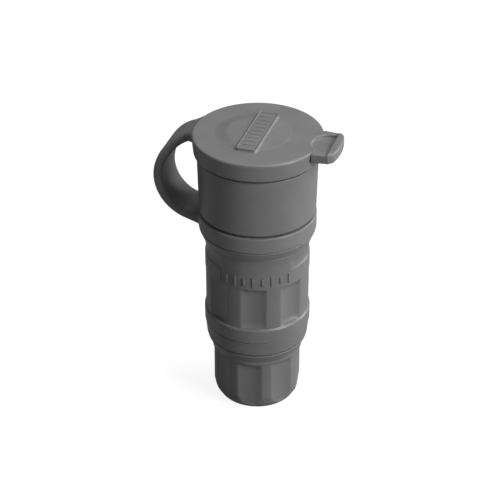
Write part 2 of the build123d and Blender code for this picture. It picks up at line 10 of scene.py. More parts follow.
import bmesh
import bpy
import numpy as np
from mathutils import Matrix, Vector


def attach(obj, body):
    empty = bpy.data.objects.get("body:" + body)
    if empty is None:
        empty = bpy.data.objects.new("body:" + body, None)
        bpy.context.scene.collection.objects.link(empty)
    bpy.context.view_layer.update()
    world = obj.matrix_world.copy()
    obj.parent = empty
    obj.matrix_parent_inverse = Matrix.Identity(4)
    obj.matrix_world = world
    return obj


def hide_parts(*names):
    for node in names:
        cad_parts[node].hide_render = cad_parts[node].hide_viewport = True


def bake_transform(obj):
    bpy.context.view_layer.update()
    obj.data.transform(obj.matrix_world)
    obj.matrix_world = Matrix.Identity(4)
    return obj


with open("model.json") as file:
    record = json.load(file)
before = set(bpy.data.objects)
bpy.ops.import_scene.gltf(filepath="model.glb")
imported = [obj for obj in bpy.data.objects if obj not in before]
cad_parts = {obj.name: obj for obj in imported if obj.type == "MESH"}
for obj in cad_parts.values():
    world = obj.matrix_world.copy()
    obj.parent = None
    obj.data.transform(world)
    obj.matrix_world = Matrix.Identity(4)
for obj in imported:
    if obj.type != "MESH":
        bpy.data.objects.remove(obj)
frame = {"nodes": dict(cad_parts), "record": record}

LOG = logging.getLogger("watertight_plug")
MM = 0.001
# Points closer together than this are one point.
SAME_PLACE = MM / 500
# Angle in degrees past which the edge of a square joint stays sharp.
JOINT_ANGLE = 50.0

Rgb = tuple[float, float, float]
Field = Callable[[np.ndarray], np.ndarray]
Options = dict[str, object]
Socket = bpy.types.NodeSocket
Setting = float | int | bool | tuple[float, ...] | Socket | bpy.types.Material


class Body(Enum):
    """Bodies that the new pieces ride on."""

    HOUSING = "housing"
    CAP = "cap"
    NUT = "nut"


class Slot(Enum):
    """Material slots of the record."""

    CAP_RUBBER = "cap_rubber"
    HOUSING_RUBBER = "housing_rubber"
    SEAL_RUBBER = "seal_rubber"
    NYLON = "nylon"
    WASHER_PLASTIC = "washer_plastic"
    BLADE_BRASS = "blade_brass"
    SCREW_STEEL = "screw_steel"


class NodeTree:
    """Builds one node tree, for a surface or for geometry, with short calls."""

    def __init__(self, tree: bpy.types.NodeTree) -> None:
        """Starts on an empty tree.

        Args:
            tree: The tree to fill; what it holds is removed.
        """
        self.tree = tree
        self.tree.nodes.clear()

    def node(self, kind: str, options: Options | None = None, **inputs: Setting) -> bpy.types.Node:
        """Adds a node, sets its options and fills or links its inputs.

        Args:
            kind: The node's type name.
            options: Attributes of the node, such as its operation.
            **inputs: Socket names, with underscores for spaces, and a value or a socket to link.

        Returns:
            The new node.
        """
        made = self.tree.nodes.new(kind)
        for key, value in (options or {}).items():
            setattr(made, key, value)
        for key, value in inputs.items():
            self.feed(made.inputs[key.replace("_", " ")], value)
        return made

    def out(self, kind: str, options: Options | None = None, **inputs: Setting) -> Socket:
        """Adds a node as node does, and gives its first output."""
        return self.node(kind, options, **inputs).outputs[0]

    def feed(self, socket: Socket, value: Setting) -> None:
        """Links a socket to another, or sets its own value.

        Args:
            socket: The input to fill.
            value: Another node's output, or a plain value.
        """
        if isinstance(value, Socket):
            self.tree.links.new(value, socket)
        else:
            socket.default_value = value

    def math(self, operation: str, *values: Setting) -> Socket:
        """Adds a Math node.

        Args:
            operation: The node's operation.
            *values: Its operands in order.

        Returns:
            The node's output socket.
        """
        made = self.node("ShaderNodeMath", {"operation": operation})
        for socket, value in zip(made.inputs, values):
            self.feed(socket, value)
        return made.outputs[0]

    def parts(self, vector: Socket) -> list[Socket]:
        """The three components of a vector socket."""
        return list(self.node("ShaderNodeSeparateXYZ", Vector=vector).outputs)

    def vector(self, x: Setting, y: Setting, z: Setting) -> Socket:
        """A vector socket made of three components."""
        return self.out("ShaderNodeCombineXYZ", X=x, Y=y, Z=z)


class SurfaceTree(NodeTree):
    """The tree of a new material, with its patterns on Object coordinates."""

    def __init__(self, name: str) -> None:
        """Makes the material.

        Args:
            name: Name of the material.
        """
        self.material = bpy.data.materials.new(name)
        self.material.use_nodes = True
        super().__init__(self.material.node_tree)

    def noise(self, scale: float, detail: float, drawn: float = 1.0) -> Socket:
        """A cloud pattern.

        Args:
            scale: How many clouds lie in a metre.
            detail: How many layers of finer clouds it has.
            drawn: Share of the scale that is kept along Z, where less than 1 draws the clouds out.

        Returns:
            A value between 0 and 1.
        """
        place = self.node("ShaderNodeTexCoord").outputs["Object"]
        mapped = self.out("ShaderNodeMapping", Vector=place, Scale=(1.0, 1.0, drawn))
        return self.node("ShaderNodeTexNoise", Vector=mapped, Scale=scale, Detail=detail).outputs["Fac"]

    def spread(self, share: Setting, middle: float, reach: float) -> Socket:
        """A share between 0 and 1 made a value as far as reach to either side of the middle."""
        ends = {"To_Min": middle - reach, "To_Max": middle + reach}
        return self.out("ShaderNodeMapRange", Value=share, **ends)

    def two_tints(self, share: Setting, stops: tuple[float, float], tints: tuple[Rgb, Rgb]) -> Socket:
        """A colour that passes from one tint to another.

        Args:
            share: Value that it follows.
            stops: Where the first tint ends and where the second begins.
            tints: The two tints, linear.

        Returns:
            The colour.
        """
        ramp = self.node("ShaderNodeValToRGB", Fac=share)
        for element, stop, tint in zip(ramp.color_ramp.elements, stops, tints):
            element.position = stop
            element.color = (*tint, 1.0)
        return ramp.outputs[0]

    def bumped(self, height: Setting, strength: float, distance: float) -> Socket:
        """A normal that shows a pattern as fine relief, its distance in metres."""
        return self.out("ShaderNodeBump", Height=height, Strength=strength, Distance=distance)

    def finish(self, **inputs: Setting) -> bpy.types.Material:
        """Ends the tree with a principled shader of these inputs."""
        self.node("ShaderNodeOutputMaterial", Surface=self.out("ShaderNodeBsdfPrincipled", **inputs))
        return self.material


class GrowthTree(NodeTree):
    """A Geometry Nodes tree with named inputs, which grows a plain mesh from a seed mesh."""

    def __init__(self, name: str, measures: tuple[str, ...], counts: tuple[str, ...]) -> None:
        """Makes the tree with its interface: the seed, a finish and its own inputs.

        Args:
            name: The tree's name.
            measures: Names of its inputs that are lengths, angles or shares.
            counts: Names of its inputs that are whole numbers.
        """
        super().__init__(bpy.data.node_groups.new(name, "GeometryNodeTree"))
        kinds = {"Material": "NodeSocketMaterial"}
        kinds |= {key: "NodeSocketFloat" for key in measures}
        kinds |= {key: "NodeSocketInt" for key in counts}
        interface = self.tree.interface
        interface.new_socket("Geometry", in_out="INPUT", socket_type="NodeSocketGeometry")
        interface.new_socket("Geometry", in_out="OUTPUT", socket_type="NodeSocketGeometry")
        self.identifiers = {
            key: interface.new_socket(key, in_out="INPUT", socket_type=kind).identifier
            for key, kind in kinds.items()
        }
        self.given = self.node("NodeGroupInput").outputs

    def around(self, radius: Setting, heading: Setting, level: Setting) -> Socket:
        """The place at a radius from the axis, in a direction and at a level.

        Args:
            radius: Distance from the axis.
            heading: Direction.
            level: Level.

        Returns:
            The place.
        """
        x = self.math("MULTIPLY", radius, self.math("COSINE", heading))
        y = self.math("MULTIPLY", radius, self.math("SINE", heading))
        return self.vector(x, y, level)

    def moved(self, geometry: Socket, spot: Socket) -> Socket:
        """A geometry with its points set to new places."""
        return self.out("GeometryNodeSetPosition", Geometry=geometry, Position=spot)

    def swept(self, line: Socket) -> Socket:
        """The seed's section swept along a line, its ends closed."""
        bead = self.out("GeometryNodeMeshToCurve", Mesh=self.given["Geometry"])
        return self.out("GeometryNodeCurveToMesh", Curve=line, Profile_Curve=bead, Fill_Caps=True)

    def finish(self, geometry: Socket) -> None:
        """Ends the tree: real geometry, smooth shading and the finish.

        Args:
            geometry: What the tree has grown.
        """
        real = self.out("GeometryNodeRealizeInstances", Geometry=geometry)
        smooth = self.out("GeometryNodeSetShadeSmooth", Geometry=real)
        dressed = self.out("GeometryNodeSetMaterial", Geometry=smooth, Material=self.given["Material"])
        self.node("NodeGroupOutput", Geometry=dressed)

    def grow(self, name: str, seed: bpy.types.Mesh, **values: Setting) -> bpy.types.Object:
        """Runs the tree on a seed and keeps the result as a plain mesh.

        Args:
            name: Name of the new piece.
            seed: Mesh that the tree starts from.
            **values: Value by input name, with underscores for spaces.

        Returns:
            The new piece, with its faces outwards.
        """
        carrier = bpy.data.objects.new(name + "_seed", seed)
        bpy.context.scene.collection.objects.link(carrier)
        modifier = carrier.modifiers.new("grow", "NODES")
        modifier.node_group = self.tree
        for key, value in values.items():
            modifier[self.identifiers[key.replace("_", " ")]] = value
        depsgraph = bpy.context.evaluated_depsgraph_get()
        mesh = bpy.data.meshes.new_from_object(carrier.evaluated_get(depsgraph), depsgraph=depsgraph)
        carrier.modifiers.remove(modifier)
        bpy.data.objects.remove(carrier)
        return add_piece(name, mesh)


def add_piece(name: str, mesh: bpy.types.Mesh, sharp_angle: float | None = None) -> bpy.types.Object:
    """Links a mesh as a new piece, its doubles merged and its faces outwards.

    Args:
        name: Name of the piece.
        mesh: The mesh, with its place in its vertices.
        sharp_angle: Angle in degrees past which an edge stays sharp, if any does.

    Returns:
        The new object at the origin.
    """
    shape = bmesh.new()
    shape.from_mesh(mesh)
    bmesh.ops.remove_doubles(shape, verts=shape.verts, dist=SAME_PLACE)
    bmesh.ops.recalc_face_normals(shape, faces=shape.faces)
    for face in shape.faces:
        face.smooth = True
    shape.to_mesh(mesh)
    shape.free()
    if sharp_angle is not None:
        mesh.set_sharp_from_angle(angle=math.radians(sharp_angle))
    mesh.name = name
    piece = bpy.data.objects.new(name, mesh)
    bpy.context.scene.collection.objects.link(piece)
    LOG.info("%s: %d faces", name, len(mesh.polygons))
    return piece


@dataclass(frozen=True)
class MouldedFinish:
    """Moulded rubber or plastic: soft mottling, uneven gloss and a fine grain.

    Attributes:
        name: Name of the material.
        color: Base colour, linear.
        roughness: Middle of the surface's roughness.
        mottling: Share by which the colour varies over a few millimetres.
        grain: Height of the fine grain in millimetres.
        specular: Level of the plain reflection.
        gloss_reach: How far the roughness varies to either side.
        mottling_scale: Clouds of the mottling in a metre.
        gloss_scale: Patches of uneven gloss in a metre.
        grain_scale: Grains in a metre.
    """

    name: str
    color: Rgb
    roughness: float = 0.45
    mottling: float = 0.05
    grain: float = 0.012
    specular: float = 0.5
    gloss_reach: float = 0.06
    mottling_scale: float = 90.0
    gloss_scale: float = 220.0
    grain_scale: float = 2600.0

    def build(self) -> bpy.types.Material:
        """Builds the material.

        Returns:
            The material, with patterns on Object coordinates.
        """
        tree = SurfaceTree(self.name)
        dark, light = (tuple(c * (1 + side * self.mottling) for c in self.color) for side in (-1, 1))
        mottled = tree.noise(self.mottling_scale, detail=3.0)
        patches = tree.noise(self.gloss_scale, detail=4.0)
        grains = tree.noise(self.grain_scale, detail=2.0)
        return tree.finish(
            Base_Color=tree.two_tints(mottled, stops=(0.3, 0.7), tints=(dark, light)),
            Roughness=tree.spread(patches, self.roughness, self.gloss_reach),
            Normal=tree.bumped(grains, strength=0.5, distance=self.grain * MM),
            Specular_IOR_Level=self.specular,
        )


@dataclass(frozen=True)
class MetalFinish:
    """Stamped or turned metal with fine brushing and faint tarnish.

    Attributes:
        name: Name of the material.
        color: Base colour, linear.
        roughness: Middle of the surface's roughness.
        tarnish: Colour of the duller patches, linear.
        gloss_reach: How far the roughness varies to either side.
        tarnish_scale: Patches of tarnish in a metre.
        brush_scale: Brush lines in a metre.
        brush_depth: Their depth in millimetres.
        drawn: How far the lines are drawn out along Z, as a share of their scale.
    """

    name: str
    color: Rgb
    roughness: float
    tarnish: Rgb
    gloss_reach: float = 0.08
    tarnish_scale: float = 160.0
    brush_scale: float = 3000.0
    brush_depth: float = 0.01
    drawn: float = 0.05

    def build(self) -> bpy.types.Material:
        """Builds the material.

        Returns:
            The material, with patterns on Object coordinates.
        """
        tree = SurfaceTree(self.name)
        patches = tree.noise(self.tarnish_scale, detail=5.0)
        lines = tree.noise(self.brush_scale, detail=2.0, drawn=self.drawn)
        return tree.finish(
            Base_Color=tree.two_tints(patches, stops=(0.35, 0.6), tints=(self.tarnish, self.color)),
            Roughness=tree.spread(lines, self.roughness, self.gloss_reach),
            Normal=tree.bumped(lines, strength=0.3, distance=self.brush_depth * MM),
            Metallic=1.0,
        )


@dataclass(frozen=True)
class Corner:
    """A corner of a turned section.

    Attributes:
        radius: Distance from the axis in millimetres.
        level: Height in millimetres.
        rounding: Radius of the corner in millimetres.
    """

    radius: float
    level: float
    rounding: float = 0.0


@dataclass(frozen=True)
class Section:
    """A closed section that is turned about the axis.

    Attributes:
        corners: Its corners in order.
        extra_levels: Heights at which straight runs get a point.
        arc_step: Turn of one facet of a rounded corner, in degrees.
        support: Distance from a rounded corner to the next point, in millimetres.
        longest_run: Longest straight facet, in millimetres.
        longest_share: Largest share of a side that one rounding takes.
        straight: Half the angle of a corner, in degrees, past which it counts as straight.
    """

    corners: list[Corner]
    extra_levels: tuple[float, ...] = ()
    arc_step: float = 15.0
    support: float = 0.15
    longest_run: float = 3.0
    longest_share: float = 0.45
    straight: float = 89.0

    def round_corner(
        self, before: np.ndarray, at: np.ndarray, after: np.ndarray, rounding: float
    ) -> list[np.ndarray]:
        """Points that replace one corner.

        Args:
            before: The corner before it.
            at: The corner itself.
            after: The corner after it.
            rounding: Its radius.

        Returns:
            The corner alone, or the points of its arc with one support point on each side.
        """
        back, ahead = before - at, after - at
        reach_back, reach_ahead = np.linalg.norm(back), np.linalg.norm(ahead)
        back, ahead = back / reach_back, ahead / reach_ahead
        half = math.acos(float(np.clip(back @ ahead, -1, 1))) / 2
        if rounding <= 0 or half > math.radians(self.straight):
            return [at]
        tangent = min(rounding / math.tan(half), self.longest_share * min(reach_back, reach_ahead))
        radius = tangent * math.tan(half)
        middle = (back + ahead) / np.linalg.norm(back + ahead)
        centre = at + middle * radius / math.sin(half)
        start, end = at + back * tangent - centre, at + ahead * tangent - centre
        first = math.atan2(start[1], start[0])
        turn = math.atan2(end[1], end[0]) - first
        turn = (turn + math.pi) % (2 * math.pi) - math.pi
        steps = max(2, math.ceil(abs(math.degrees(turn)) / self.arc_step))
        angles = [first + turn * step / steps for step in range(steps + 1)]
        arc = [centre + radius * np.array([math.cos(a), math.sin(a)]) for a in angles]
        if tangent + 2 * self.support < reach_back / 2:
            arc.insert(0, at + back * (tangent + self.support))
        if tangent + 2 * self.support < reach_ahead / 2:
            arc.append(at + ahead * (tangent + self.support))
        return arc

    def points(self) -> np.ndarray:
        """Points of the rounded section.

        Returns:
            Radius and level of each point in order, in millimetres.
        """
        ends = np.array([(c.radius, c.level) for c in self.corners], float)
        rounded: list[np.ndarray] = []
        for i, corner in enumerate(self.corners):
            rounded += self.round_corner(ends[i - 1], ends[i], ends[(i + 1) % len(ends)], corner.rounding)
        dense: list[np.ndarray] = []
        for here, there in zip(rounded, rounded[1:] + rounded[:1]):
            length = float(np.linalg.norm(there - here))
            pieces = max(1, math.ceil(length / self.longest_run))
            shares = {step / pieces for step in range(pieces)}
            rise = there[1] - here[1]
            if abs(rise) > self.support:
                crossed = [(level - here[1]) / rise for level in self.extra_levels]
                shares |= {share for share in crossed if 0 < share < 1}
            dense += [here + (there - here) * share for share in sorted(shares)]
        return np.array(dense)

    def seed(self, name: str) -> bpy.types.Mesh:
        """The section as loose points, which the turning tree reads.

        Args:
            name: Name of the mesh.

        Returns:
            A mesh whose points are radius, 0, level in metres.
        """
        points = self.points() * MM
        mesh = bpy.data.meshes.new(name + "_section")
        mesh.from_pydata([(r, 0.0, z) for r, z in points], [], [])
        return mesh


@dataclass(frozen=True)
class Flutes:
    """Scoops pressed into a turned wall.

    Attributes:
        land_radius: Radius of the wall between them, in millimetres.
        sweep: Width of one, in degrees.
        depth: Depth at its middle, in millimetres.
        turn: Direction of the first one's middle, in degrees.
        foot: Level of their lower ends, in millimetres.
        top: Level of their upper ends, in millimetres.
        count: How many places there are.
        plain_every: Every which place stays plain, counted from the first, or nought for none.
        edge: Rounding of their long edges, in millimetres.
        end: Height over which they fade at each end, in millimetres.
    """

    land_radius: float
    sweep: float
    depth: float
    turn: float
    foot: float
    top: float
    count: int = 8
    plain_every: int = 0
    edge: float = 0.18
    end: float = 0.35

    def cutter(self) -> tuple[float, float]:
        """Radius of the round cutter and its distance from the axis, in millimetres.

        Returns:
            The radius and the distance.
        """
        half_chord = self.land_radius * math.sin(math.radians(self.sweep / 2))
        sagitta = self.depth - self.land_radius * (1 - math.cos(math.radians(self.sweep / 2)))
        radius = (half_chord**2 + sagitta**2) / (2 * sagitta)
        return radius, self.land_radius - self.depth + radius

    def levels(self) -> tuple[float, ...]:
        """Levels at which the wall needs points for the scoops' ends."""
        fades = [share * self.end for share in (0.0, 0.25, 0.5, 0.75, 1.0)]
        return tuple([self.foot + fade for fade in fades] + [self.top - fade for fade in fades])

    def inputs(self) -> dict[str, Setting]:
        """What the turning tree is told of them, in metres and radians.

        Returns:
            The values by the names of the tree's inputs.
        """
        radius, distance = self.cutter()
        lengths = {
            "Cutter_Radius": radius, "Cutter_Distance": distance, "Foot": self.foot, "Top": self.top,
            "End": self.end, "Edge": self.edge,
        }
        places = {
            "Turn": math.radians(self.turn), "Flute_Count": self.count, "Plain_Every": self.plain_every,
        }
        return {**{key: length * MM for key, length in lengths.items()}, **places}


@dataclass(frozen=True)
class Pad:
    """A plain field on a turned wall that fills a step up to one radius.

    Attributes:
        radius: Radius of the field, in millimetres.
        middle: Direction of its middle, in degrees.
        half_sweep: Half its width, in degrees.
        foot: Level of its lower end, in millimetres.
        top: Level of its upper end, in millimetres.
        fade: Width over which its two sides fade, in degrees.
        reach_in: How far inside the field a wall may lie and still be filled, in millimetres.
    """

    radius: float
    middle: float
    half_sweep: float
    foot: float
    top: float
    fade: float = 9.0
    reach_in: float = 1.0

    def inputs(self) -> dict[str, Setting]:
        """What the turning tree is told of it, in metres and radians.

        Returns:
            The values by the names of the tree's inputs.
        """
        return {
            "Pad_Radius": self.radius * MM, "Pad_Foot": self.foot * MM, "Pad_Top": self.top * MM,
            "Pad_Reach": self.reach_in * MM, "Pad_Middle": math.radians(self.middle),
            "Pad_Half": math.radians(self.half_sweep), "Pad_Fade": math.radians(self.fade),
        }


class TurningTree(GrowthTree):
    """Turns a section about the axis, fills a field on it and presses flutes into its outer wall."""

    # What a wall without flutes and without a field is told in their place.
    PLAIN_WALL: ClassVar[dict[str, Setting]] = {
        "Turn": 0.0, "Flute_Count": 1, "Plain_Every": 0, "Cutter_Radius": 0.0, "Cutter_Distance": 0.0,
        "Foot": 0.0, "Top": 0.0, "End": MM, "Edge": 0.0, "Pad_Radius": 0.0, "Pad_Middle": 0.0,
        "Pad_Half": 0.1, "Pad_Foot": 0.0, "Pad_Top": 0.0, "Pad_Fade": 0.05, "Pad_Reach": 0.0,
    }

    def __init__(self) -> None:
        """Builds the tree."""
        measures = (
            "Turn", "Cutter Radius", "Cutter Distance", "Foot", "Top", "End", "Edge", "Pad Radius",
            "Pad Middle", "Pad Half", "Pad Foot", "Pad Top", "Pad Fade", "Pad Reach",
        )
        super().__init__("turned_and_fluted", measures, counts=("Sides", "Flute Count", "Plain Every"))
        given = self.given
        section = given["Geometry"]
        rows = self.node("GeometryNodeAttributeDomainSize", Geometry=section).outputs["Point Count"]
        columns, lines = self.math("ADD", given["Sides"], 1.0), self.math("ADD", rows, 1.0)
        counts = {"Vertices_X": columns, "Vertices_Y": lines}
        grid = self.out("GeometryNodeMeshGrid", Size_X=1.0, Size_Y=1.0, **counts)
        place = self.out("GeometryNodeInputPosition")
        across, along, _ = self.parts(place)
        row = self.math("ROUND", self.math("MULTIPLY", self.math("ADD", along, 0.5), rows))
        row = self.math("FLOORED_MODULO", row, rows)
        options = {"data_type": "FLOAT_VECTOR"}
        sample = self.out("GeometryNodeSampleIndex", options, Geometry=section, Value=place, Index=row)
        radius, _, level = self.parts(sample)
        angle = self.math("MULTIPLY", self.math("ADD", across, 0.5), 2 * math.pi)
        heading = self.math("ADD", angle, given["Turn"])
        wall = self.pressed(self.padded(radius, level, heading), level, angle)
        placed = self.moved(grid, self.around(wall, heading, level))
        self.finish(self.out("GeometryNodeMergeByDistance", Geometry=placed, Distance=SAME_PLACE))

    def padded(self, radius: Setting, level: Setting, heading: Setting) -> Socket:
        """The wall's radius with the field filled in.

        Args:
            radius: Radius of the wall.
            level: Its level.
            heading: Its direction.

        Returns:
            The radius, raised where the field lies.
        """
        given = self.given
        off = self.math("SUBTRACT", heading, given["Pad Middle"])
        off = self.math("ABSOLUTE", self.math("WRAP", off, math.pi, -math.pi))
        inner = self.math("SUBTRACT", given["Pad Half"], given["Pad Fade"])
        beside = self.math("SUBTRACT", 1.0, self.ramp(off, inner, given["Pad Half"]))
        above = self.math("GREATER_THAN", level, given["Pad Foot"])
        below = self.math("LESS_THAN", level, given["Pad Top"])
        lack = self.math("SUBTRACT", given["Pad Radius"], radius)
        near = self.math("LESS_THAN", lack, given["Pad Reach"])
        in_height = self.math("MULTIPLY", above, below)
        share = self.math("MULTIPLY", in_height, self.math("MULTIPLY", beside, near))
        return self.math("MULTIPLY_ADD", share, self.math("MAXIMUM", lack, 0.0), radius)

    def pressed(self, radius: Setting, level: Setting, angle: Setting) -> Socket:
        """The wall's radius with the flutes pressed in.

        Args:
            radius: Radius of the wall.
            level: Its level.
            angle: Its direction, counted from the first flute's middle.

        Returns:
            The radius, lowered where a flute lies.
        """
        given = self.given
        distance = given["Cutter Distance"]
        pitch = self.math("DIVIDE", 2 * math.pi, given["Flute Count"])
        half = self.math("MULTIPLY", pitch, 0.5)
        off = self.math("WRAP", angle, half, self.math("MULTIPLY", half, -1.0))
        side = self.math("MULTIPLY", distance, self.math("SINE", off))
        reach_squared = self.math("POWER", given["Cutter Radius"], 2.0)
        inside = self.math("SUBTRACT", reach_squared, self.math("POWER", side, 2.0))
        reach = self.math("SQRT", self.math("MAXIMUM", inside, 0.0))
        scoop = self.math("SUBTRACT", self.math("MULTIPLY", distance, self.math("COSINE", off)), reach)
        change = self.math("SUBTRACT", self.math("SMOOTH_MIN", radius, scoop, given["Edge"]), radius)
        rise = self.ramp(level, given["Foot"], self.math("ADD", given["Foot"], given["End"]))
        fall = self.ramp(level, self.math("SUBTRACT", given["Top"], given["End"]), given["Top"])
        in_height = self.math("MULTIPLY", rise, self.math("SUBTRACT", 1.0, fall))
        place = self.math("ROUND", self.math("DIVIDE", angle, pitch))
        place = self.math("FLOORED_MODULO", place, given["Plain Every"])
        all_cut = self.math("LESS_THAN", given["Plain Every"], 0.5)
        is_cut = self.math("MAXIMUM", self.math("GREATER_THAN", place, 0.5), all_cut)
        share = self.math("MULTIPLY", in_height, is_cut)
        return self.math("ADD", radius, self.math("MULTIPLY", change, share))

    def ramp(self, value: Setting, start: Setting, end: Setting) -> Socket:
        """A soft step from 0 at start to 1 at end."""
        options = {"interpolation_type": "SMOOTHSTEP"}
        return self.out("ShaderNodeMapRange", options, Value=value, From_Min=start, From_Max=end)

    def turned(
        self, name: str, corners: list[Corner], material: bpy.types.Material,
        flutes: Flutes | None = None, pad: Pad | None = None, sides: int = 384,
    ) -> bpy.types.Object:
        """Turns one piece.

        Args:
            name: Name of the piece.
            corners: Corners of its closed section.
            material: Its finish.
            flutes: The scoops in its wall, if it has any.
            pad: The plain field on its wall, if it has one.
            sides: Facets round the axis.

        Returns:
            The new piece.
        """
        section = Section(corners, flutes.levels() if flutes else ())
        values = dict(self.PLAIN_WALL)
        for feature in (flutes, pad):
            values |= feature.inputs() if feature else {}
        return self.grow(name, section.seed(name), Sides=sides, Material=material, **values)


def ring_seed(name: str, radius: float, sides: int = 12) -> bpy.types.Mesh:
    """A closed round section as loose edges, which the bead trees sweep.

    Args:
        name: Name of the mesh.
        radius: Its radius in millimetres.
        sides: Its number of edges.

    Returns:
        The section in the plane of X and Y.
    """
    angles = [2 * math.pi * side / sides for side in range(sides)]
    mesh = bpy.data.meshes.new(name + "_section")
    spots = [(radius * MM * math.cos(a), radius * MM * math.sin(a), 0.0) for a in angles]
    mesh.from_pydata(spots, [(i, (i + 1) % sides) for i in range(sides)], [])
    return mesh


def bar_seed(name: str, proud: float, width: float, height: float, edge: float) -> bpy.types.Mesh:
    """A softened bar that stands out along X from just inside a wall.

    Args:
        name: Name of the mesh.
        proud: How far it stands out, in millimetres; as much again lies inside the wall.
        width: Its width along Y.
        height: Its height along Z.
        edge: Rounding of its edges.

    Returns:
        The bar, with its middle at the origin.
    """
    shape = bmesh.new()
    bmesh.ops.create_cube(shape, size=MM)
    bmesh.ops.scale(shape, vec=(2 * proud, width, height), verts=shape.verts)
    edges = shape.edges[:]
    bmesh.ops.bevel(shape, geom=edges, offset=edge * MM, segments=3, profile=0.5, affect="EDGES")
    mesh = bpy.data.meshes.new(name + "_bar")
    shape.to_mesh(mesh)
    shape.free()
    return mesh


class BarRowTree(GrowthTree):
    """Sets a row of raised bars round a wall, every second one shorter."""

    def __init__(self) -> None:
        """Builds the tree."""
        measures = ("Radius", "Level", "Start", "Step", "Short Share")
        super().__init__("raised_bars", measures, counts=("Count",))
        given = self.given
        line = self.out("GeometryNodeMeshLine", Count=given["Count"])
        index = self.out("GeometryNodeInputIndex")
        heading = self.math("MULTIPLY_ADD", index, given["Step"], given["Start"])
        placed = self.moved(line, self.around(given["Radius"], heading, given["Level"]))
        odd = self.math("FLOORED_MODULO", index, 2.0)
        loss = self.math("MULTIPLY", odd, self.math("SUBTRACT", 1.0, given["Short Share"]))
        bars = self.out(
            "GeometryNodeInstanceOnPoints", Points=placed, Instance=given["Geometry"],
            Rotation=self.vector(0.0, 0.0, heading),
            Scale=self.vector(1.0, 1.0, self.math("SUBTRACT", 1.0, loss)),
        )
        self.finish(bars)


class PlateReliefTree(GrowthTree):
    """Sweeps a round bead into a plate's border and a row of plain cross ribs."""

    # Facets of one rounded corner of the border.
    CORNER_STEPS: ClassVar[int] = 8

    def __init__(self) -> None:
        """Builds the tree."""
        measures = ("Length", "Width", "Corner", "Level", "Rib Length", "Rib Span")
        super().__init__("plate_relief", measures, counts=("Rib Count",))
        both = self.node("GeometryNodeJoinGeometry")
        self.feed(both.inputs[0], self.border())
        self.feed(both.inputs[0], self.ribs())
        lift = self.vector(0.0, 0.0, self.given["Level"])
        self.finish(self.out("GeometryNodeTransform", Geometry=both.outputs[0], Translation=lift))

    def border(self) -> Socket:
        """The bead round the plate's edge.

        Returns:
            The border's geometry.
        """
        given = self.given
        outline = self.out(
            "GeometryNodeCurvePrimitiveQuadrilateral", {"mode": "RECTANGLE"}, Width=given["Width"],
            Height=given["Length"],
        )
        rounded = self.out(
            "GeometryNodeFilletCurve", {"mode": "POLY"}, Curve=outline, Count=self.CORNER_STEPS,
            Radius=given["Corner"],
        )
        return self.swept(rounded)

    def ribs(self) -> Socket:
        """The row of ribs across the plate.

        Returns:
            The ribs' geometry.
        """
        given = self.given
        half = self.math("MULTIPLY", given["Rib Length"], 0.5)
        start = self.vector(self.math("MULTIPLY", half, -1.0), 0.0, 0.0)
        end = self.vector(half, 0.0, 0.0)
        rib = self.swept(self.out("GeometryNodeCurvePrimitiveLine", Start=start, End=end))
        index = self.out("GeometryNodeInputIndex")
        pitch = self.math("DIVIDE", given["Rib Span"], self.math("SUBTRACT", given["Rib Count"], 1.0))
        along = self.math("MULTIPLY_ADD", index, pitch, self.math("MULTIPLY", given["Rib Span"], -0.5))
        row = self.out("GeometryNodeMeshLine", Count=given["Rib Count"])
        placed = self.moved(row, self.vector(0.0, along, 0.0))
        return self.out("GeometryNodeInstanceOnPoints", Points=placed, Instance=rib)


class ThreadTree(GrowthTree):
    """Winds a rounded ridge round the axis as a right-hand thread that fades at both ends."""

    # Share of its thickness that the ridge keeps at its very ends.
    THINNEST: ClassVar[float] = 0.3

    def __init__(self) -> None:
        """Builds the tree."""
        measures = ("Root Radius", "Pitch", "Turns", "Level", "Fade")
        super().__init__("thread_ridge", measures, counts=("Steps",))
        given = self.given
        straight = self.out("GeometryNodeCurvePrimitiveLine")
        stepped = self.out("GeometryNodeResampleCurve", Curve=straight, Count=given["Steps"])
        share = self.node("GeometryNodeSplineParameter").outputs["Factor"]
        angle = self.math("MULTIPLY", self.math("MULTIPLY", share, given["Turns"]), 2 * math.pi)
        rise = self.math("MULTIPLY", self.math("MULTIPLY", given["Turns"], given["Pitch"]), share)
        level = self.math("ADD", given["Level"], rise)
        wound = self.moved(stepped, self.around(given["Root Radius"], angle, level))
        near_end = self.math("MINIMUM", share, self.math("SUBTRACT", 1.0, share))
        fade = self.math("MINIMUM", self.math("DIVIDE", near_end, given["Fade"]), 1.0)
        thickness = self.math("MAXIMUM", self.math("SQRT", fade), self.THINNEST)
        faded = self.out("GeometryNodeSetCurveRadius", Curve=wound, Radius=thickness)
        self.finish(self.swept(faded))


def smooth_union(one: np.ndarray, other: np.ndarray, blend: float) -> np.ndarray:
    """Distance to two solids joined with a soft fillet.

    Args:
        one: Distances to the first solid.
        other: Distances to the second solid.
        blend: Reach of the fillet in millimetres.

    Returns:
        Distances to the joined solid.
    """
    share = np.clip(0.5 + 0.5 * (other - one) / blend, 0, 1)
    return other + (one - other) * share - blend * share * (1 - share)


def smooth_cut(solid: np.ndarray, tool: np.ndarray, blend: float) -> np.ndarray:
    """Distance to a solid with another one cut out of it, its edge softened."""
    return -smooth_union(-solid, tool, blend)


def rounded_meet(one: np.ndarray, other: np.ndarray, rounding: float) -> np.ndarray:
    """Distance to where two solids overlap, with a rounded edge.

    Args:
        one: Distances to the first solid.
        other: Distances to the second solid.
        rounding: Radius of the edge in millimetres.

    Returns:
        Distances to the shared solid.
    """
    a, b = one + rounding, other + rounding
    outside = np.hypot(np.maximum(a, 0), np.maximum(b, 0))
    return outside + np.minimum(np.maximum(a, b), 0) - rounding


def slab(value: np.ndarray, low: float, high: float) -> np.ndarray:
    """Distance to the layer between two values."""
    return np.maximum(low - value, value - high)


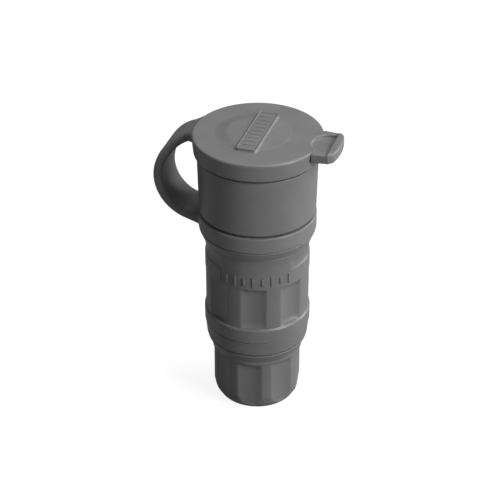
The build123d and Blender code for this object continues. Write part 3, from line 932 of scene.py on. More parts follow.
def soft_step(value: np.ndarray, start: float, end: float) -> np.ndarray:
    """A share that rises softly from 0 at start to 1 at end."""
    share = np.clip((value - start) / (end - start), 0, 1)
    return share * share * (3 - 2 * share)


def seam_union(
    one: np.ndarray, other: np.ndarray, blend: float, past: np.ndarray, reach: float
) -> np.ndarray:
    """Distance to two solids whose fillet starts at a square cut and is whole a little past it.

    Args:
        one: Distances to the first solid.
        other: Distances to the second solid.
        blend: Reach of the fillet in millimetres.
        past: Distances past the cut.
        reach: Distance past the cut at which the fillet is whole.

    Returns:
        Distances to the joined solid.
    """
    joined = smooth_union(one, other, blend)
    share = np.clip(past / reach, 0, 1)
    return np.where(share < 1, np.minimum(one, other) * (1 - share) + joined * share, joined)


@dataclass(frozen=True)
class SoftMesher:
    """Makes a smooth closed mesh of a solid given by its distance field.

    Attributes:
        cell: Size of a grid cell in millimetres.
        passes: How often the points are drawn onto the surface.
        probe: Step of the slope measurement in millimetres.
        least_slope: Least square of the slope that a step is worked out with.
    """

    cell: float = 0.42
    passes: int = 4
    probe: float = 0.02
    least_slope: float = 0.2

    def slope(self, solid: Field, p: np.ndarray) -> np.ndarray:
        """Direction and steepness of the field at some points.

        Args:
            solid: The distance field.
            p: Points, one per row.

        Returns:
            The slope at each point.
        """
        steps = np.eye(3) * self.probe
        return np.stack([(solid(p + s) - solid(p - s)) / (2 * self.probe) for s in steps], axis=1)

    def mesh(self, name: str, solid: Field, low: Vector, high: Vector) -> bpy.types.Mesh:
        """Meshes the solid inside a box.

        Args:
            name: Name of the mesh.
            solid: The distance field, in millimetres.
            low: Lowest corner of the box.
            high: Highest corner of the box.

        Returns:
            The mesh in metres, with its normals taken from the field.
        """
        axes = [np.arange(low[i] - 2 * self.cell, high[i] + 2 * self.cell, self.cell) for i in range(3)]
        grid = np.stack(np.meshgrid(*axes, indexing="ij"), axis=-1)
        shape = grid.shape[:3]
        inside = (solid(grid.reshape(-1, 3)) < 0).reshape(shape)
        corners = sum(
            inside[i : shape[0] - 1 + i, j : shape[1] - 1 + j, k : shape[2] - 1 + k].astype(int)
            for i in (0, 1) for j in (0, 1) for k in (0, 1)
        )
        crossed = (corners > 0) & (corners < 8)
        number = np.full(crossed.shape, -1)
        number[crossed] = np.arange(int(crossed.sum()))
        corner_places = [axis[index] for axis, index in zip(axes, np.nonzero(crossed))]
        p = np.stack(corner_places, axis=1) + self.cell / 2
        for _ in range(self.passes):
            slope = self.slope(solid, p)
            steep = np.maximum((slope**2).sum(1), self.least_slope)
            step = -solid(p)[:, None] * slope / steep[:, None]
            p = p + np.clip(step, -self.cell, self.cell)
        faces = [self.quads(inside, number, axis) for axis in range(3)]
        mesh = bpy.data.meshes.new(name)
        mesh.from_pydata((p * MM).tolist(), [], np.concatenate(faces).tolist())
        return mesh

    def quads(self, inside: np.ndarray, number: np.ndarray, axis: int) -> np.ndarray:
        """Faces across the grid lines of one direction.

        Args:
            inside: Which grid points lie in the solid.
            number: The mesh point of each crossed cell.
            axis: Direction of the grid lines.

        Returns:
            Four point numbers per face.
        """
        turned = np.moveaxis(inside, axis, 0)
        cells = np.moveaxis(number, axis, 0)
        changed = turned[:-1, 1:-1, 1:-1] != turned[1:, 1:-1, 1:-1]
        i, j, k = np.nonzero(changed)
        square = [cells[i, j, k], cells[i, j + 1, k], cells[i, j + 1, k + 1], cells[i, j, k + 1]]
        return np.stack(square, axis=1)


@dataclass(frozen=True)
class StrapLine:
    """The strap's bow along its middle: an upper arc, a lower arc and a straight run to the ring.

    Attributes:
        reach: How far it bows out from the axis.
        tongue_reach: Where it meets the cap's tongue.
        tongue_level: Level of its upper face there.
        lower_radius: Outer radius of the lower arc.
        lower_sweep: Turn of the lower arc in degrees.
        foot_level: Level of its lower face at the ring's lug.
        lug_reach: Where it meets the lug.
        thickness: Its thickness.
        edge: Rounding of its long edges.
        lap: How far it runs on into the tongue and the lug.
        lean: How far its upper end leans sideways, towards +Y.
        lean_from: Level at which it begins to lean.
    """

    reach: float = 45.7
    tongue_reach: float = 31.7
    tongue_level: float = 132.6
    lower_radius: float = 20.5
    lower_sweep: float = 73.0
    foot_level: float = 91.0
    lug_reach: float = 27.6
    thickness: float = 4.2
    edge: float = 1.5
    lap: float = 0.05
    lean: float = 3.0
    lean_from: float = 113.0

    def foot_slope(self) -> float:
        """Slope of the straight run, in radians."""
        return math.radians(90 - self.lower_sweep)

    def arc_foot(self) -> tuple[float, float]:
        """Where the lower arc ends on the outer face."""
        x = self.lower_radius * (1 - math.cos(math.radians(self.lower_sweep))) - self.reach
        return x, self.foot_level + (-x - self.lug_reach) * math.tan(self.foot_slope())

    def turn_level(self) -> float:
        """Level at which the two arcs meet."""
        return self.arc_foot()[1] + self.lower_radius * math.sin(math.radians(self.lower_sweep))

    def upper_radius(self) -> float:
        """Outer radius of the upper arc."""
        rise, run = self.tongue_level - self.turn_level(), self.reach - self.tongue_reach
        return (run**2 + rise**2) / (2 * run)

    def upper_centre(self) -> tuple[float, float]:
        """Centre of the upper arc."""
        return self.upper_radius() - self.reach, self.turn_level()

    def lower_centre(self) -> tuple[float, float]:
        """Centre of the lower arc."""
        return self.lower_radius - self.reach, self.turn_level()

    def upper_band(self, x: np.ndarray, z: np.ndarray) -> np.ndarray:
        """Distance to the band of the upper arc, carried on past both ends.

        Args:
            x: Places along X, in millimetres.
            z: Their levels.

        Returns:
            Its distance at each place.
        """
        middle = self.upper_radius() - self.thickness / 2
        cx, cz = self.upper_centre()
        return np.abs(np.hypot(x - cx, z - cz) - middle) - self.thickness / 2

    def foot_band(self, x: np.ndarray, z: np.ndarray) -> np.ndarray:
        """Distance to the band of the straight run, carried on past both ends.

        Args:
            x: Places along X, in millimetres.
            z: Their levels.

        Returns:
            Its distance at each place.
        """
        slope = self.foot_slope()
        below = (z - self.foot_level) * math.cos(slope) + (x + self.lug_reach) * math.sin(slope)
        return np.abs(below - self.thickness / 2) - self.thickness / 2

    def past_tongue_joint(self, x: np.ndarray, z: np.ndarray) -> np.ndarray:
        """Distance past the square cut between strap and tongue, counted into the tongue.

        Args:
            x: Places along X, in millimetres.
            z: Their levels.

        Returns:
            Its distance at each place.
        """
        cx, cz = self.upper_centre()
        angle = self.tongue_angle()
        return (x - cx) * math.sin(angle) - (z - cz) * math.cos(angle)

    def tongue_angle(self) -> float:
        """Angle on the upper arc at which the strap meets the tongue, in radians."""
        run = -self.tongue_reach - self.upper_centre()[0]
        return math.acos(run / (self.upper_radius() - self.thickness / 2))

    def past_lug_joint(self, x: np.ndarray, z: np.ndarray) -> np.ndarray:
        """Distance past the square cut between strap and lug, counted into the lug.

        Args:
            x: Places along X, in millimetres.
            z: Their levels.

        Returns:
            Its distance at each place.
        """
        slope = self.foot_slope()
        level = self.foot_level + self.thickness / 2 / math.cos(slope)
        return (x + self.lug_reach) * math.cos(slope) - (z - level) * math.sin(slope)

    def lean_at(self, z: float) -> float:
        """How far the band leans sideways at a level."""
        return self.lean * soft_step(z, self.lean_from, self.tongue_level)

    def middle_line(self, pieces: int) -> np.ndarray:
        """Points along the middle of the strap from the lug to the tongue.

        Args:
            pieces: How many steps the line has.

        Returns:
            For each point its place and its outward direction, as x, z, outward x and outward z.
        """
        half = self.thickness / 2
        sweep = math.radians(self.lower_sweep)
        (lx, lz), (ux, uz) = self.lower_centre(), self.upper_centre()
        lower, upper = self.lower_radius - half, self.upper_radius() - half
        run_out = np.array([-math.cos(sweep), -math.sin(sweep)])
        arc_end = np.array([lx, lz]) + lower * run_out
        run = (-self.lug_reach - arc_end[0]) / math.cos(self.foot_slope())
        lengths = [run, lower * sweep, upper * (math.pi - self.tongue_angle())]
        line = []
        for at in np.linspace(-self.lap, sum(lengths) + self.lap, pieces + 1):
            if at < lengths[0]:
                along = np.array([math.cos(self.foot_slope()), -math.sin(self.foot_slope())])
                spot, out = arc_end + along * (lengths[0] - at), run_out
            elif at < lengths[0] + lengths[1]:
                angle = math.pi + sweep - (at - lengths[0]) / lower
                out = np.array([math.cos(angle), math.sin(angle)])
                spot = np.array([lx, lz]) + lower * out
            else:
                angle = math.pi - (at - lengths[0] - lengths[1]) / upper
                out = np.array([math.cos(angle), math.sin(angle)])
                spot = np.array([ux, uz]) + upper * out
            line.append([*spot, *out])
        return np.array(line)


@dataclass(frozen=True)
class CapEdges:
    """Roundings and fillets of the closure cap, in millimetres.

    Attributes:
        rim: Upper rim of the lid.
        foot: Foot of the skirt.
        ceiling: Where the bore meets the lid's underside.
        mouth: Mouth of the bore, and where the seal bead meets the underside.
        tab: Upper and lower edges of the tab's plate.
        tab_root: Where the tab meets the lid.
        lip: Upper and lower edges of the lip.
        lip_corner: Corners of the lip in plan.
        lip_wall: Edges of the lip's inner wall.
        lip_foot: Where the lip meets the tab's plate.
        scoop: Round the floor of the finger scoop.
        scoop_mouth: Upper edge of the scoop.
        plate: Upper edge of the plate, and where it meets the boss.
        boss_foot: Where the boss meets the lid.
        tongue_root: Where the tongue meets the lid's side.
    """

    rim: float = 1.0
    foot: float = 0.5
    ceiling: float = 0.4
    mouth: float = 0.3
    tab: float = 0.45
    tab_root: float = 0.7
    lip: float = 0.7
    lip_corner: float = 3.0
    lip_wall: float = 0.5
    lip_foot: float = 0.4
    scoop: float = 0.5
    scoop_mouth: float = 0.35
    plate: float = 0.25
    boss_foot: float = 0.35
    tongue_root: float = 0.8


@dataclass
class ClosureCap:
    """Rubber cap: lid with a skirt, tongue, boss, plate, pull tab and finger scoop.

    Attributes:
        line: The strap's bow, which the tongue carries on.
        edges: Its roundings and fillets.
        radius: Radius of the lid at its top.
        foot_radius: Radius of the skirt at its foot.
        bore: Radius of the skirt's bore.
        foot: Level of the skirt's foot.
        underside: Level of the lid's underside.
        top: Level of the lid's top.
        lap: How far its forms run on into each other.
        bead_radius: Radius of the seal bead under the lid.
        bead_height: Height of the seal bead.
        boss_offset: Place of the round boss along X.
        boss_radius: Radius at half its slope's height.
        boss_slope: Width of its slope.
        boss_height: Its height.
        boss_fade: Where along X its height begins to fall and where it stops.
        boss_loss: Share of the height that is lost there.
        plate_length: Length of the plate across the lid.
        plate_width: Its width.
        plate_corner: Rounding of its corners.
        plate_rise: Height of its field above the boss.
        plate_inset: How far its upper edge lies inside its length and width.
        plate_draft: Slope of its sides.
        tab_root_width: Width of the pull tab at the lid.
        tab_tip_width: Width at its lip.
        tab_thickness: Its thickness.
        tab_drop: How far its face lies under the lid's.
        lip_reach: Where the lip's inner wall stands.
        lip_length: How far the lip goes on outwards.
        lip_height: Its height.
        lip_rise: How far it stands above the lid.
        scoop_radius: Radius of the finger scoop.
        scoop_centre: Centre of the scoop along X.
        scoop_depth: Its depth.
        scoop_fade: Where along Y it begins to deepen and where it is full.
        scoop_least: Share of the depth at its shallow side.
        tongue_half_width: Half the tongue's width where the strap begins.
        tongue_flare: How much it widens on each side towards the lid.
        seam_reach: Distance past the strap's cut at which the tongue's fillet is whole.
        bead: Radius of the bead that makes the plate's border and ribs.
        bead_inset: Distance from the plate's edge to the border.
        bead_sunk: How far the bead's middle lies in the plate.
        border_corner: Rounding of the border's corners.
        rib_count: Number of ribs.
        rib_length: Their length across the plate.
        rib_span: Distance from the first to the last.
        room: Room in the mesher's box past the tongue, under the foot and over the top.
    """

    line: StrapLine
    edges: CapEdges = CapEdges()
    radius: float = 28.8
    foot_radius: float = 28.0
    bore: float = 25.9
    foot: float = 127.3
    underside: float = 132.7
    top: float = 135.7
    lap: float = 1.0
    bead_radius: float = 23.9
    bead_height: float = 0.5
    boss_offset: float = -2.0
    boss_radius: float = 14.0
    boss_slope: float = 4.4
    boss_height: float = 0.8
    boss_fade: tuple[float, float] = (-8.0, 12.0)
    boss_loss: float = 0.75
    plate_length: float = 35.0
    plate_width: float = 9.4
    plate_corner: float = 1.4
    plate_rise: float = 0.22
    plate_inset: float = 0.3
    plate_draft: float = 0.35
    tab_root_width: float = 22.4
    tab_tip_width: float = 21.0
    tab_thickness: float = 4.2
    tab_drop: float = 0.05
    lip_reach: float = 33.4
    lip_length: float = 3.95
    lip_height: float = 4.7
    lip_rise: float = 0.5
    scoop_radius: float = 8.0
    scoop_centre: float = 32.2
    scoop_depth: float = 1.3
    scoop_fade: tuple[float, float] = (-7.0, 2.0)
    scoop_least: float = 0.2
    tongue_half_width: float = 7.5
    tongue_flare: float = 2.0
    seam_reach: float = 1.5
    bead: float = 0.3
    bead_inset: float = 0.15
    bead_sunk: float = 0.02
    border_corner: float = 1.0
    rib_count: int = 9
    rib_length: float = 5.2
    rib_span: float = 26.0
    room: tuple[float, float, float] = (1.0, 0.5, 1.5)

    def lid(self, p: np.ndarray) -> np.ndarray:
        """Distance to the lid and its skirt, with the seal bead under it.

        Args:
            p: Points, one per row, in millimetres.

        Returns:
            The distance at each point.
        """
        edges = self.edges
        out = np.hypot(p[:, 0], p[:, 1])
        lean = (self.radius - self.foot_radius) / (self.top - self.foot)
        wall = (out - self.radius + (self.top - p[:, 2]) * lean) / math.hypot(1, lean)
        disc = rounded_meet(wall, slab(p[:, 2], self.foot - 2 * edges.rim, self.top), edges.rim)
        disc = rounded_meet(disc, self.foot - p[:, 2], edges.foot)
        hollow = rounded_meet(out - self.bore, p[:, 2] - self.underside, edges.ceiling)
        bead = np.hypot(out - self.bead_radius, p[:, 2] - self.underside) - self.bead_height
        return smooth_union(smooth_cut(disc, hollow, edges.mouth), bead, edges.mouth)

    def tab(self, p: np.ndarray) -> np.ndarray:
        """Distance to the pull tab: its plate and the raised lip at its end.

        Args:
            p: Points, one per row, in millimetres.

        Returns:
            The distance at each point.
        """
        edges = self.edges
        start = self.bore + self.lap
        share = np.clip((p[:, 0] - start) / (self.lip_reach - start), 0, 1)
        half_width = (self.tab_root_width + (self.tab_tip_width - self.tab_root_width) * share) / 2
        plan = np.maximum(slab(p[:, 0], start, self.lip_reach + self.lap), np.abs(p[:, 1]) - half_width)
        layer = slab(p[:, 2], self.top - self.tab_thickness, self.top - self.tab_drop)
        plate = rounded_meet(plan, layer, edges.tab)
        outer = np.hypot(p[:, 0], p[:, 1]) - self.lip_reach - self.lip_length
        lip = rounded_meet(outer, np.abs(p[:, 1]) - self.tab_tip_width / 2, edges.lip_corner)
        high = self.top + self.lip_rise
        lip = rounded_meet(lip, slab(p[:, 2], high - self.lip_height, high), edges.lip)
        lip = rounded_meet(lip, self.lip_reach - p[:, 0], edges.lip_wall)
        return smooth_union(plate, lip, edges.lip_foot)

    def scoop(self, p: np.ndarray) -> np.ndarray:
        """Distance to the finger scoop between the lid and the lip.

        Args:
            p: Points, one per row, in millimetres.

        Returns:
            The distance at each point.
        """
        round_wall = np.hypot(p[:, 0] - self.scoop_centre, p[:, 1]) - self.scoop_radius
        plan = np.maximum(round_wall, p[:, 0] - self.lip_reach)
        share = soft_step(p[:, 1], *self.scoop_fade)
        depth = self.scoop_depth * (self.scoop_least + (1 - self.scoop_least) * share)
        return rounded_meet(plan, self.top - depth - p[:, 2], self.edges.scoop)

    def tongue(self, p: np.ndarray) -> np.ndarray:
        """Distance to the tongue, which carries the strap's band on into the lid's side.

        Args:
            p: Points, one per row, in millimetres.

        Returns:
            The distance at each point.
        """
        line = self.line
        share = np.clip((p[:, 0] + line.tongue_reach) / (line.tongue_reach - self.radius), 0, 1)
        half_width = self.tongue_half_width + self.tongue_flare * share**2
        band = line.upper_band(p[:, 0], p[:, 2])
        band = rounded_meet(band, np.abs(p[:, 1] - line.lean) - half_width, line.edge)
        joint = line.past_tongue_joint(p[:, 0], p[:, 2])
        inside = self.bore + self.lap - np.hypot(p[:, 0], p[:, 1])
        return np.maximum(np.maximum(band, -joint), np.maximum(inside, p[:, 0]))

    def boss(self, p: np.ndarray) -> np.ndarray:
        """Distance to the low round boss, which fades towards the pull tab.

        Args:
            p: Points, one per row, in millimetres.

        Returns:
            The distance at each point.
        """
        out = np.hypot(p[:, 0] - self.boss_offset, p[:, 1])
        rise = p[:, 2] - self.top
        height = self.boss_height * (1 - self.boss_loss * soft_step(p[:, 0], *self.boss_fade))
        cone = (out - self.boss_radius) * height + (rise - 0.5 * height) * self.boss_slope
        boss = np.maximum(cone / np.hypot(height, self.boss_slope), rise - height)
        end = out - self.boss_radius - self.boss_slope / 2
        return np.maximum(boss, np.maximum(-self.lap - rise, end))

    def plate(self, p: np.ndarray) -> np.ndarray:
        """Distance to the plate across the boss, its sides drafted.

        Args:
            p: Points, one per row, in millimetres.

        Returns:
            The distance at each point.
        """
        crest = self.top + self.boss_height + self.plate_rise
        inset = self.plate_inset - self.plate_draft * (crest - p[:, 2])
        across = np.abs(p[:, 0]) - self.plate_width / 2 + inset
        along = np.abs(p[:, 1]) - self.plate_length / 2 + inset
        plan = rounded_meet(across, along, self.plate_corner)
        return rounded_meet(plan, slab(p[:, 2], self.top - self.lap, crest), self.edges.plate)

    def solid(self, p: np.ndarray) -> np.ndarray:
        """Distance to the whole cap.

        Args:
            p: Points, one per row, in millimetres.

        Returns:
            The distance at each point.
        """
        edges = self.edges
        relief = smooth_union(self.boss(p), self.plate(p), edges.plate)
        body = smooth_union(self.lid(p), relief, edges.boss_foot)
        body = smooth_union(body, self.tab(p), edges.tab_root)
        body = smooth_cut(body, self.scoop(p), edges.scoop_mouth)
        joint = self.line.past_tongue_joint(p[:, 0], p[:, 2])
        return seam_union(body, self.tongue(p), edges.tongue_root, joint, self.seam_reach)

    def build(self, material: bpy.types.Material) -> bpy.types.Object:
        """Builds the cap and lets it stand for its solid.

        Args:
            material: Its finish.

        Returns:
            The piece, riding on the cap's body.
        """
        past_tongue, under, over = self.room
        low = Vector((-self.line.tongue_reach - past_tongue, -self.radius, self.foot - under))
        high = Vector((self.lip_reach + self.lip_length, self.radius, self.top + over))
        mesh = SoftMesher().mesh("cap_moulding", self.solid, low, high)
        mesh.materials.append(material)
        piece = add_piece("cap_moulding", mesh)
        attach(piece, Body.CAP.value)
        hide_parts("closure_cap")
        self.add_plate_relief(material)
        return piece

    def add_plate_relief(self, material: bpy.types.Material) -> None:
        """Adds the border and the plain ribs on the plate.

        Args:
            material: The cap's finish.
        """
        inset = 2 * (self.bead + self.bead_inset)
        level = self.top + self.boss_height + self.plate_rise - self.bead_sunk
        relief = PlateReliefTree().grow(
            "lid_plate_relief", ring_seed("lid_plate_relief", self.bead), Material=material,
            Length=(self.plate_length - inset) * MM, Width=(self.plate_width - inset) * MM,
            Corner=self.border_corner * MM, Level=level * MM, Rib_Count=self.rib_count,
            Rib_Length=self.rib_length * MM, Rib_Span=self.rib_span * MM,
        )
        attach(relief, Body.CAP.value)


@dataclass
class StrapRing:
    """Rubber ring with the lug that the strap grows from.

    Attributes:
        line: The strap's bow, which the lug carries on.
        radius: Its outer radius.
        bore: Its bore.
        foot: Level of its foot.
        height: Its height.
        rim: Rounding of its upper rim.
        foot_edge: Rounding of its foot.
        lug_half_width: Half the lug's width.
        lug_fillet: Where the lug meets the ring.
        lap: How far the lug runs on into the ring.
        seam_reach: Distance past the strap's cut at which the lug's fillet is whole.
    """

    line: StrapLine
    radius: float = 26.3
    bore: float = 22.0
    foot: float = 90.4
    height: float = 7.4
    rim: float = 0.55
    foot_edge: float = 0.2
    lug_half_width: float = 9.5
    lug_fillet: float = 0.7
    lap: float = 1.0
    seam_reach: float = 0.8

    def solid(self, p: np.ndarray) -> np.ndarray:
        """Distance to the ring with its lug.

        Args:
            p: Points, one per row, in millimetres.

        Returns:
            The distance at each point.
        """
        out = np.hypot(p[:, 0], p[:, 1])
        ring = rounded_meet(out - self.radius, p[:, 2] - self.foot - self.height, self.rim)
        ring = rounded_meet(ring, self.foot - p[:, 2], self.foot_edge)
        band = self.line.foot_band(p[:, 0], p[:, 2])
        lug = rounded_meet(band, np.abs(p[:, 1]) - self.lug_half_width, self.line.edge)
        joint = self.line.past_lug_joint(p[:, 0], p[:, 2])
        lug = np.maximum(np.maximum(lug, -joint), p[:, 0] + self.bore + self.lap)
        joined = seam_union(ring, lug, self.lug_fillet, joint, self.seam_reach)
        return np.maximum(joined, self.bore - out)

    def build(self, material: bpy.types.Material) -> bpy.types.Object:
        """Builds the ring and lets it stand for its solid.

        Args:
            material: Its finish.

        Returns:
            The piece, riding on the housing.
        """
        low = Vector((-self.line.lug_reach - self.lap, -self.radius, self.foot))
        high = Vector((self.radius, self.radius, self.foot + self.height))
        mesh = SoftMesher().mesh("ring_moulding", self.solid, low, high)
        mesh.materials.append(material)
        piece = add_piece("ring_moulding", mesh, JOINT_ANGLE)
        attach(piece, Body.HOUSING.value)
        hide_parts("strap_ring")
        return piece


@dataclass
class ClosureStrap:
    """Flat rubber band between the ring's lug and the cap's tongue.

    Attributes:
        line: Its bow.
        half_width: Half its width along the lower run.
        root_half_width: Half its width at the tongue.
        narrow_from: Level at which it begins to narrow.
        pieces: Steps along it.
        edge_steps: Steps round each of its long edges.
        hinge: Where it folds as the cap opens.
        fold: Where the fold begins and ends, as shares of the step that the hinge lies in.
    """

    line: StrapLine
    half_width: float = 9.5
    root_half_width: float = 7.5
    narrow_from: float = 121.0
    pieces: int = 220
    edge_steps: int = 6
    hinge: tuple[float, float] = (-39.1, 127.7)
    fold: tuple[float, float] = (0.3, 0.7)

    def section(self, half_width: float) -> list[tuple[float, float]]:
        """The band's rounded section.

        Args:
            half_width: Half its width.

        Returns:
            Sideways and outward place of each point.
        """
        edge = self.line.edge
        middle, out = half_width - edge, self.line.thickness / 2 - edge
        points = []
        for quarter, (side, face) in enumerate(((1, 1), (-1, 1), (-1, -1), (1, -1))):
            for step in range(self.edge_steps + 1):
                a = math.radians(90 * (quarter + step / self.edge_steps))
                points.append((side * middle + edge * math.cos(a), face * out + edge * math.sin(a)))
        return points

    def fold_ends(self) -> tuple[Vector, Vector]:
        """Ends of the short piece that folds, which lies between the two sections nearest to the hinge.

        Returns:
            Its end on the ring's side and its end on the cap's side, in metres.
        """
        hinge = np.array(self.hinge)
        out = hinge - np.array(self.line.upper_centre())
        out = out / np.linalg.norm(out)
        along = np.array([out[1], -out[0]])
        places = (self.line.middle_line(self.pieces)[:, :2] - hinge) @ along
        after = int(np.argmax(places > 0))
        before, beyond = places[after - 1], places[after]
        spots = [hinge + along * (before + (beyond - before) * share) for share in self.fold]
        return tuple(Vector((spot[0], 0, spot[1])) * MM for spot in spots)

    def mesh(self) -> bpy.types.Mesh:
        """The band as rings of points along its middle line, closed at both ends.

        Returns:
            The mesh in metres.
        """
        vertices: list[tuple[float, float, float]] = []
        rings: list[list[int]] = []
        for x, z, out_x, out_z in self.line.middle_line(self.pieces):
            narrowing = soft_step(z, self.narrow_from, self.line.tongue_level)
            half_width = self.half_width + (self.root_half_width - self.half_width) * narrowing
            lean = self.line.lean_at(z)
            ring = self.section(half_width)
            rings.append(list(range(len(vertices), len(vertices) + len(ring))))
            for side, out in ring:
                vertices.append(((x + out * out_x) * MM, (side + lean) * MM, (z + out * out_z) * MM))
        count = len(rings[0])
        faces = [
            (here[i], here[(i + 1) % count], there[(i + 1) % count], there[i])
            for here, there in zip(rings, rings[1:])
            for i in range(count)
        ]
        faces += [tuple(rings[0]), tuple(reversed(rings[-1]))]
        mesh = bpy.data.meshes.new("strap_band")
        mesh.from_pydata(vertices, [], faces)
        return mesh

    def build(self, material: bpy.types.Material) -> bpy.types.Object:
        """Builds the strap as a band that bows between the housing and the cap.

        Args:
            material: Its finish.

        Returns:
            The piece.
        """
        mesh = self.mesh()
        mesh.materials.append(material)
        piece = add_piece("strap_band", mesh, JOINT_ANGLE)
        start, end = self.fold_ends()
        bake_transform(piece)
        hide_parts("closure_strap")
        return piece


@dataclass
class Housing:
    """Collar and body shell of the housing.

    Attributes:
        turning: The tree that turns them.
        flutes: The scoops between the shell's two bands.
        pad: The field that fills the upper band's step in front.
        thread_root: Root radius of the spigot's thread.
        thread_crest: Radius over the thread's ridge.
        thread_pitch: Its pitch.
        thread_foot: Level at which it begins.
        thread_turns: Its number of turns.
        thread_steps: Points along it.
        thread_fade: Share of it over which it fades at each end.
        band_radius: Radius of the upper band.
        bar_count: Number of raised bars on the band.
        bar_level: Level of their middle.
        bar_proud: How far they stand out.
        bar_width: Their width.
        bar_height: Their height.
        bar_edge: Rounding of their edges.
        bar_short_share: Height of every second one, as a share of the others'.
        bar_middle: Direction of the middle one, in degrees.
        bar_step: Turn from one to the next, in degrees.
    """

    turning: TurningTree
    flutes: Flutes = Flutes(
        23.4, sweep=28.5, depth=1.5, turn=13.0, foot=48.2, top=69.4, plain_every=4
    )
    pad: Pad = Pad(23.6, middle=-73.5, half_sweep=47.0, foot=69.45, top=82.4)
    thread_root: float = 16.2
    thread_crest: float = 17.0
    thread_pitch: float = 2.5
    thread_foot: float = 22.0
    thread_turns: float = 4.0
    thread_steps: int = 300
    thread_fade: float = 0.04
    band_radius: float = 23.6
    bar_count: int = 9
    bar_level: float = 73.6
    bar_proud: float = 0.45
    bar_width: float = 1.1
    bar_height: float = 5.0
    bar_edge: float = 0.16
    bar_short_share: float = 0.7
    bar_middle: float = -77.4
    bar_step: float = 10.2

    def collar_corners(self) -> list[Corner]:
        """Corners of the front collar's section: radius, level and rounding.

        Returns:
            The corners, counted once round the section.
        """
        neck = [(19.4, 84.4), (21.9, 84.4, 0.3), (21.9, 85.8)]
        seal_groove = [(20.5, 85.8), (20.5, 87.9), (21.9, 87.9), (21.9, 99.1, 0.2)]
        hood_wall = [(26.0, 99.1, 0.3), (26.6, 125.9, 0.3), (25.5, 125.9, 0.2), (25.6, 131.9, 0.5)]
        hood_bore = [(22.0, 131.9, 0.5), (22.0, 100.1, 0.3)]
        floor_hole = [(18.2, 100.1), (18.2, 98.1), (19.4, 98.1)]
        return [Corner(*spot) for spot in neck + seal_groove + hood_wall + hood_bore + floor_hole]

    def shell_corners(self) -> list[Corner]:
        """Corners of the body shell's section: radius, level and rounding.

        Returns:
            The corners, counted once round the section.
        """
        wall = self.flutes
        spigot = [(14.5, 21.0), (self.thread_root, 21.0, 0.4), (self.thread_root, 32.4, 0.3)]
        foot = [(self.thread_crest, 33.0), (23.1, 33.0, 1.2), (23.75, 40.3, 0.2)]
        foot_groove = [(23.4, 40.45, 0.1), (23.4, 40.65, 0.1)]
        lower_band = [(24.05, 40.95, 0.3), (24.1, 47.4, 0.35)]
        fluted_wall = [(wall.land_radius, wall.foot, 0.2), (wall.land_radius, wall.top, 0.1)]
        upper_band = [(self.band_radius, 69.5, 0.12), (self.band_radius, 76.8, 0.6)]
        neck = [(23.1, 77.7, 0.7), (23.1, 80.5, 1.0)]
        cone_groove = [(24.1, 85.0, 0.12), (23.95, 85.15, 0.06), (24.4, 85.45, 0.25)]
        cone_top = [(26.1, 89.6, 0.15), (25.6, 89.9, 0.1), (25.6, 90.4)]
        bore = [(21.95, 90.4), (21.95, 84.2), (18.5, 84.2), (18.5, 52.0), (15.5, 52.0), (15.5, 39.5)]
        cord_hole = [(11.0, 35.0), (11.0, 28.5), (14.5, 24.5)]
        outside = spigot + foot + foot_groove + lower_band + fluted_wall + upper_band + neck
        return [Corner(*spot) for spot in outside + cone_groove + cone_top + bore + cord_hole]

    def build(self, material: bpy.types.Material) -> None:
        """Builds the collar and the shell.

        Args:
            material: Their finish.
        """
        pieces = (
            ("collar_wall", "front_collar", self.collar_corners(), None),
            ("fluted_shell", "body_shell", self.shell_corners(), self.flutes),
        )
        for name, node, corners, flutes in pieces:
            piece = self.turning.turned(name, corners, material, flutes, self.pad if flutes else None)
            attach(piece, Body.HOUSING.value)
            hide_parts(node)
        for piece in (self.raised_bars(material), self.thread(material)):
            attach(piece, Body.HOUSING.value)

    def raised_bars(self, material: bpy.types.Material) -> bpy.types.Object:
        """The plain raised bars on the upper band.

        Args:
            material: The housing's finish.

        Returns:
            The piece, not yet riding on its body.
        """
        start = self.bar_middle - self.bar_step * (self.bar_count - 1) / 2
        seed = bar_seed("band_bars", self.bar_proud, self.bar_width, self.bar_height, self.bar_edge)
        return BarRowTree().grow(
            "band_bars", seed, Count=self.bar_count, Radius=self.band_radius * MM,
            Level=self.bar_level * MM, Start=math.radians(start), Step=math.radians(self.bar_step),
            Short_Share=self.bar_short_share, Material=material,
        )

    def thread(self, material: bpy.types.Material) -> bpy.types.Object:
        """The thread's ridge on the spigot, which shows when the nut is off.

        Args:
            material: The housing's finish.

        Returns:
            The piece, not yet riding on its body.
        """
        bead = self.thread_crest - self.thread_root
        return ThreadTree().grow(
            "spigot_thread", ring_seed("spigot_thread", bead), Root_Radius=self.thread_root * MM,
            Pitch=self.thread_pitch * MM, Turns=self.thread_turns, Level=self.thread_foot * MM,
            Steps=self.thread_steps, Fade=self.thread_fade, Material=material,
        )


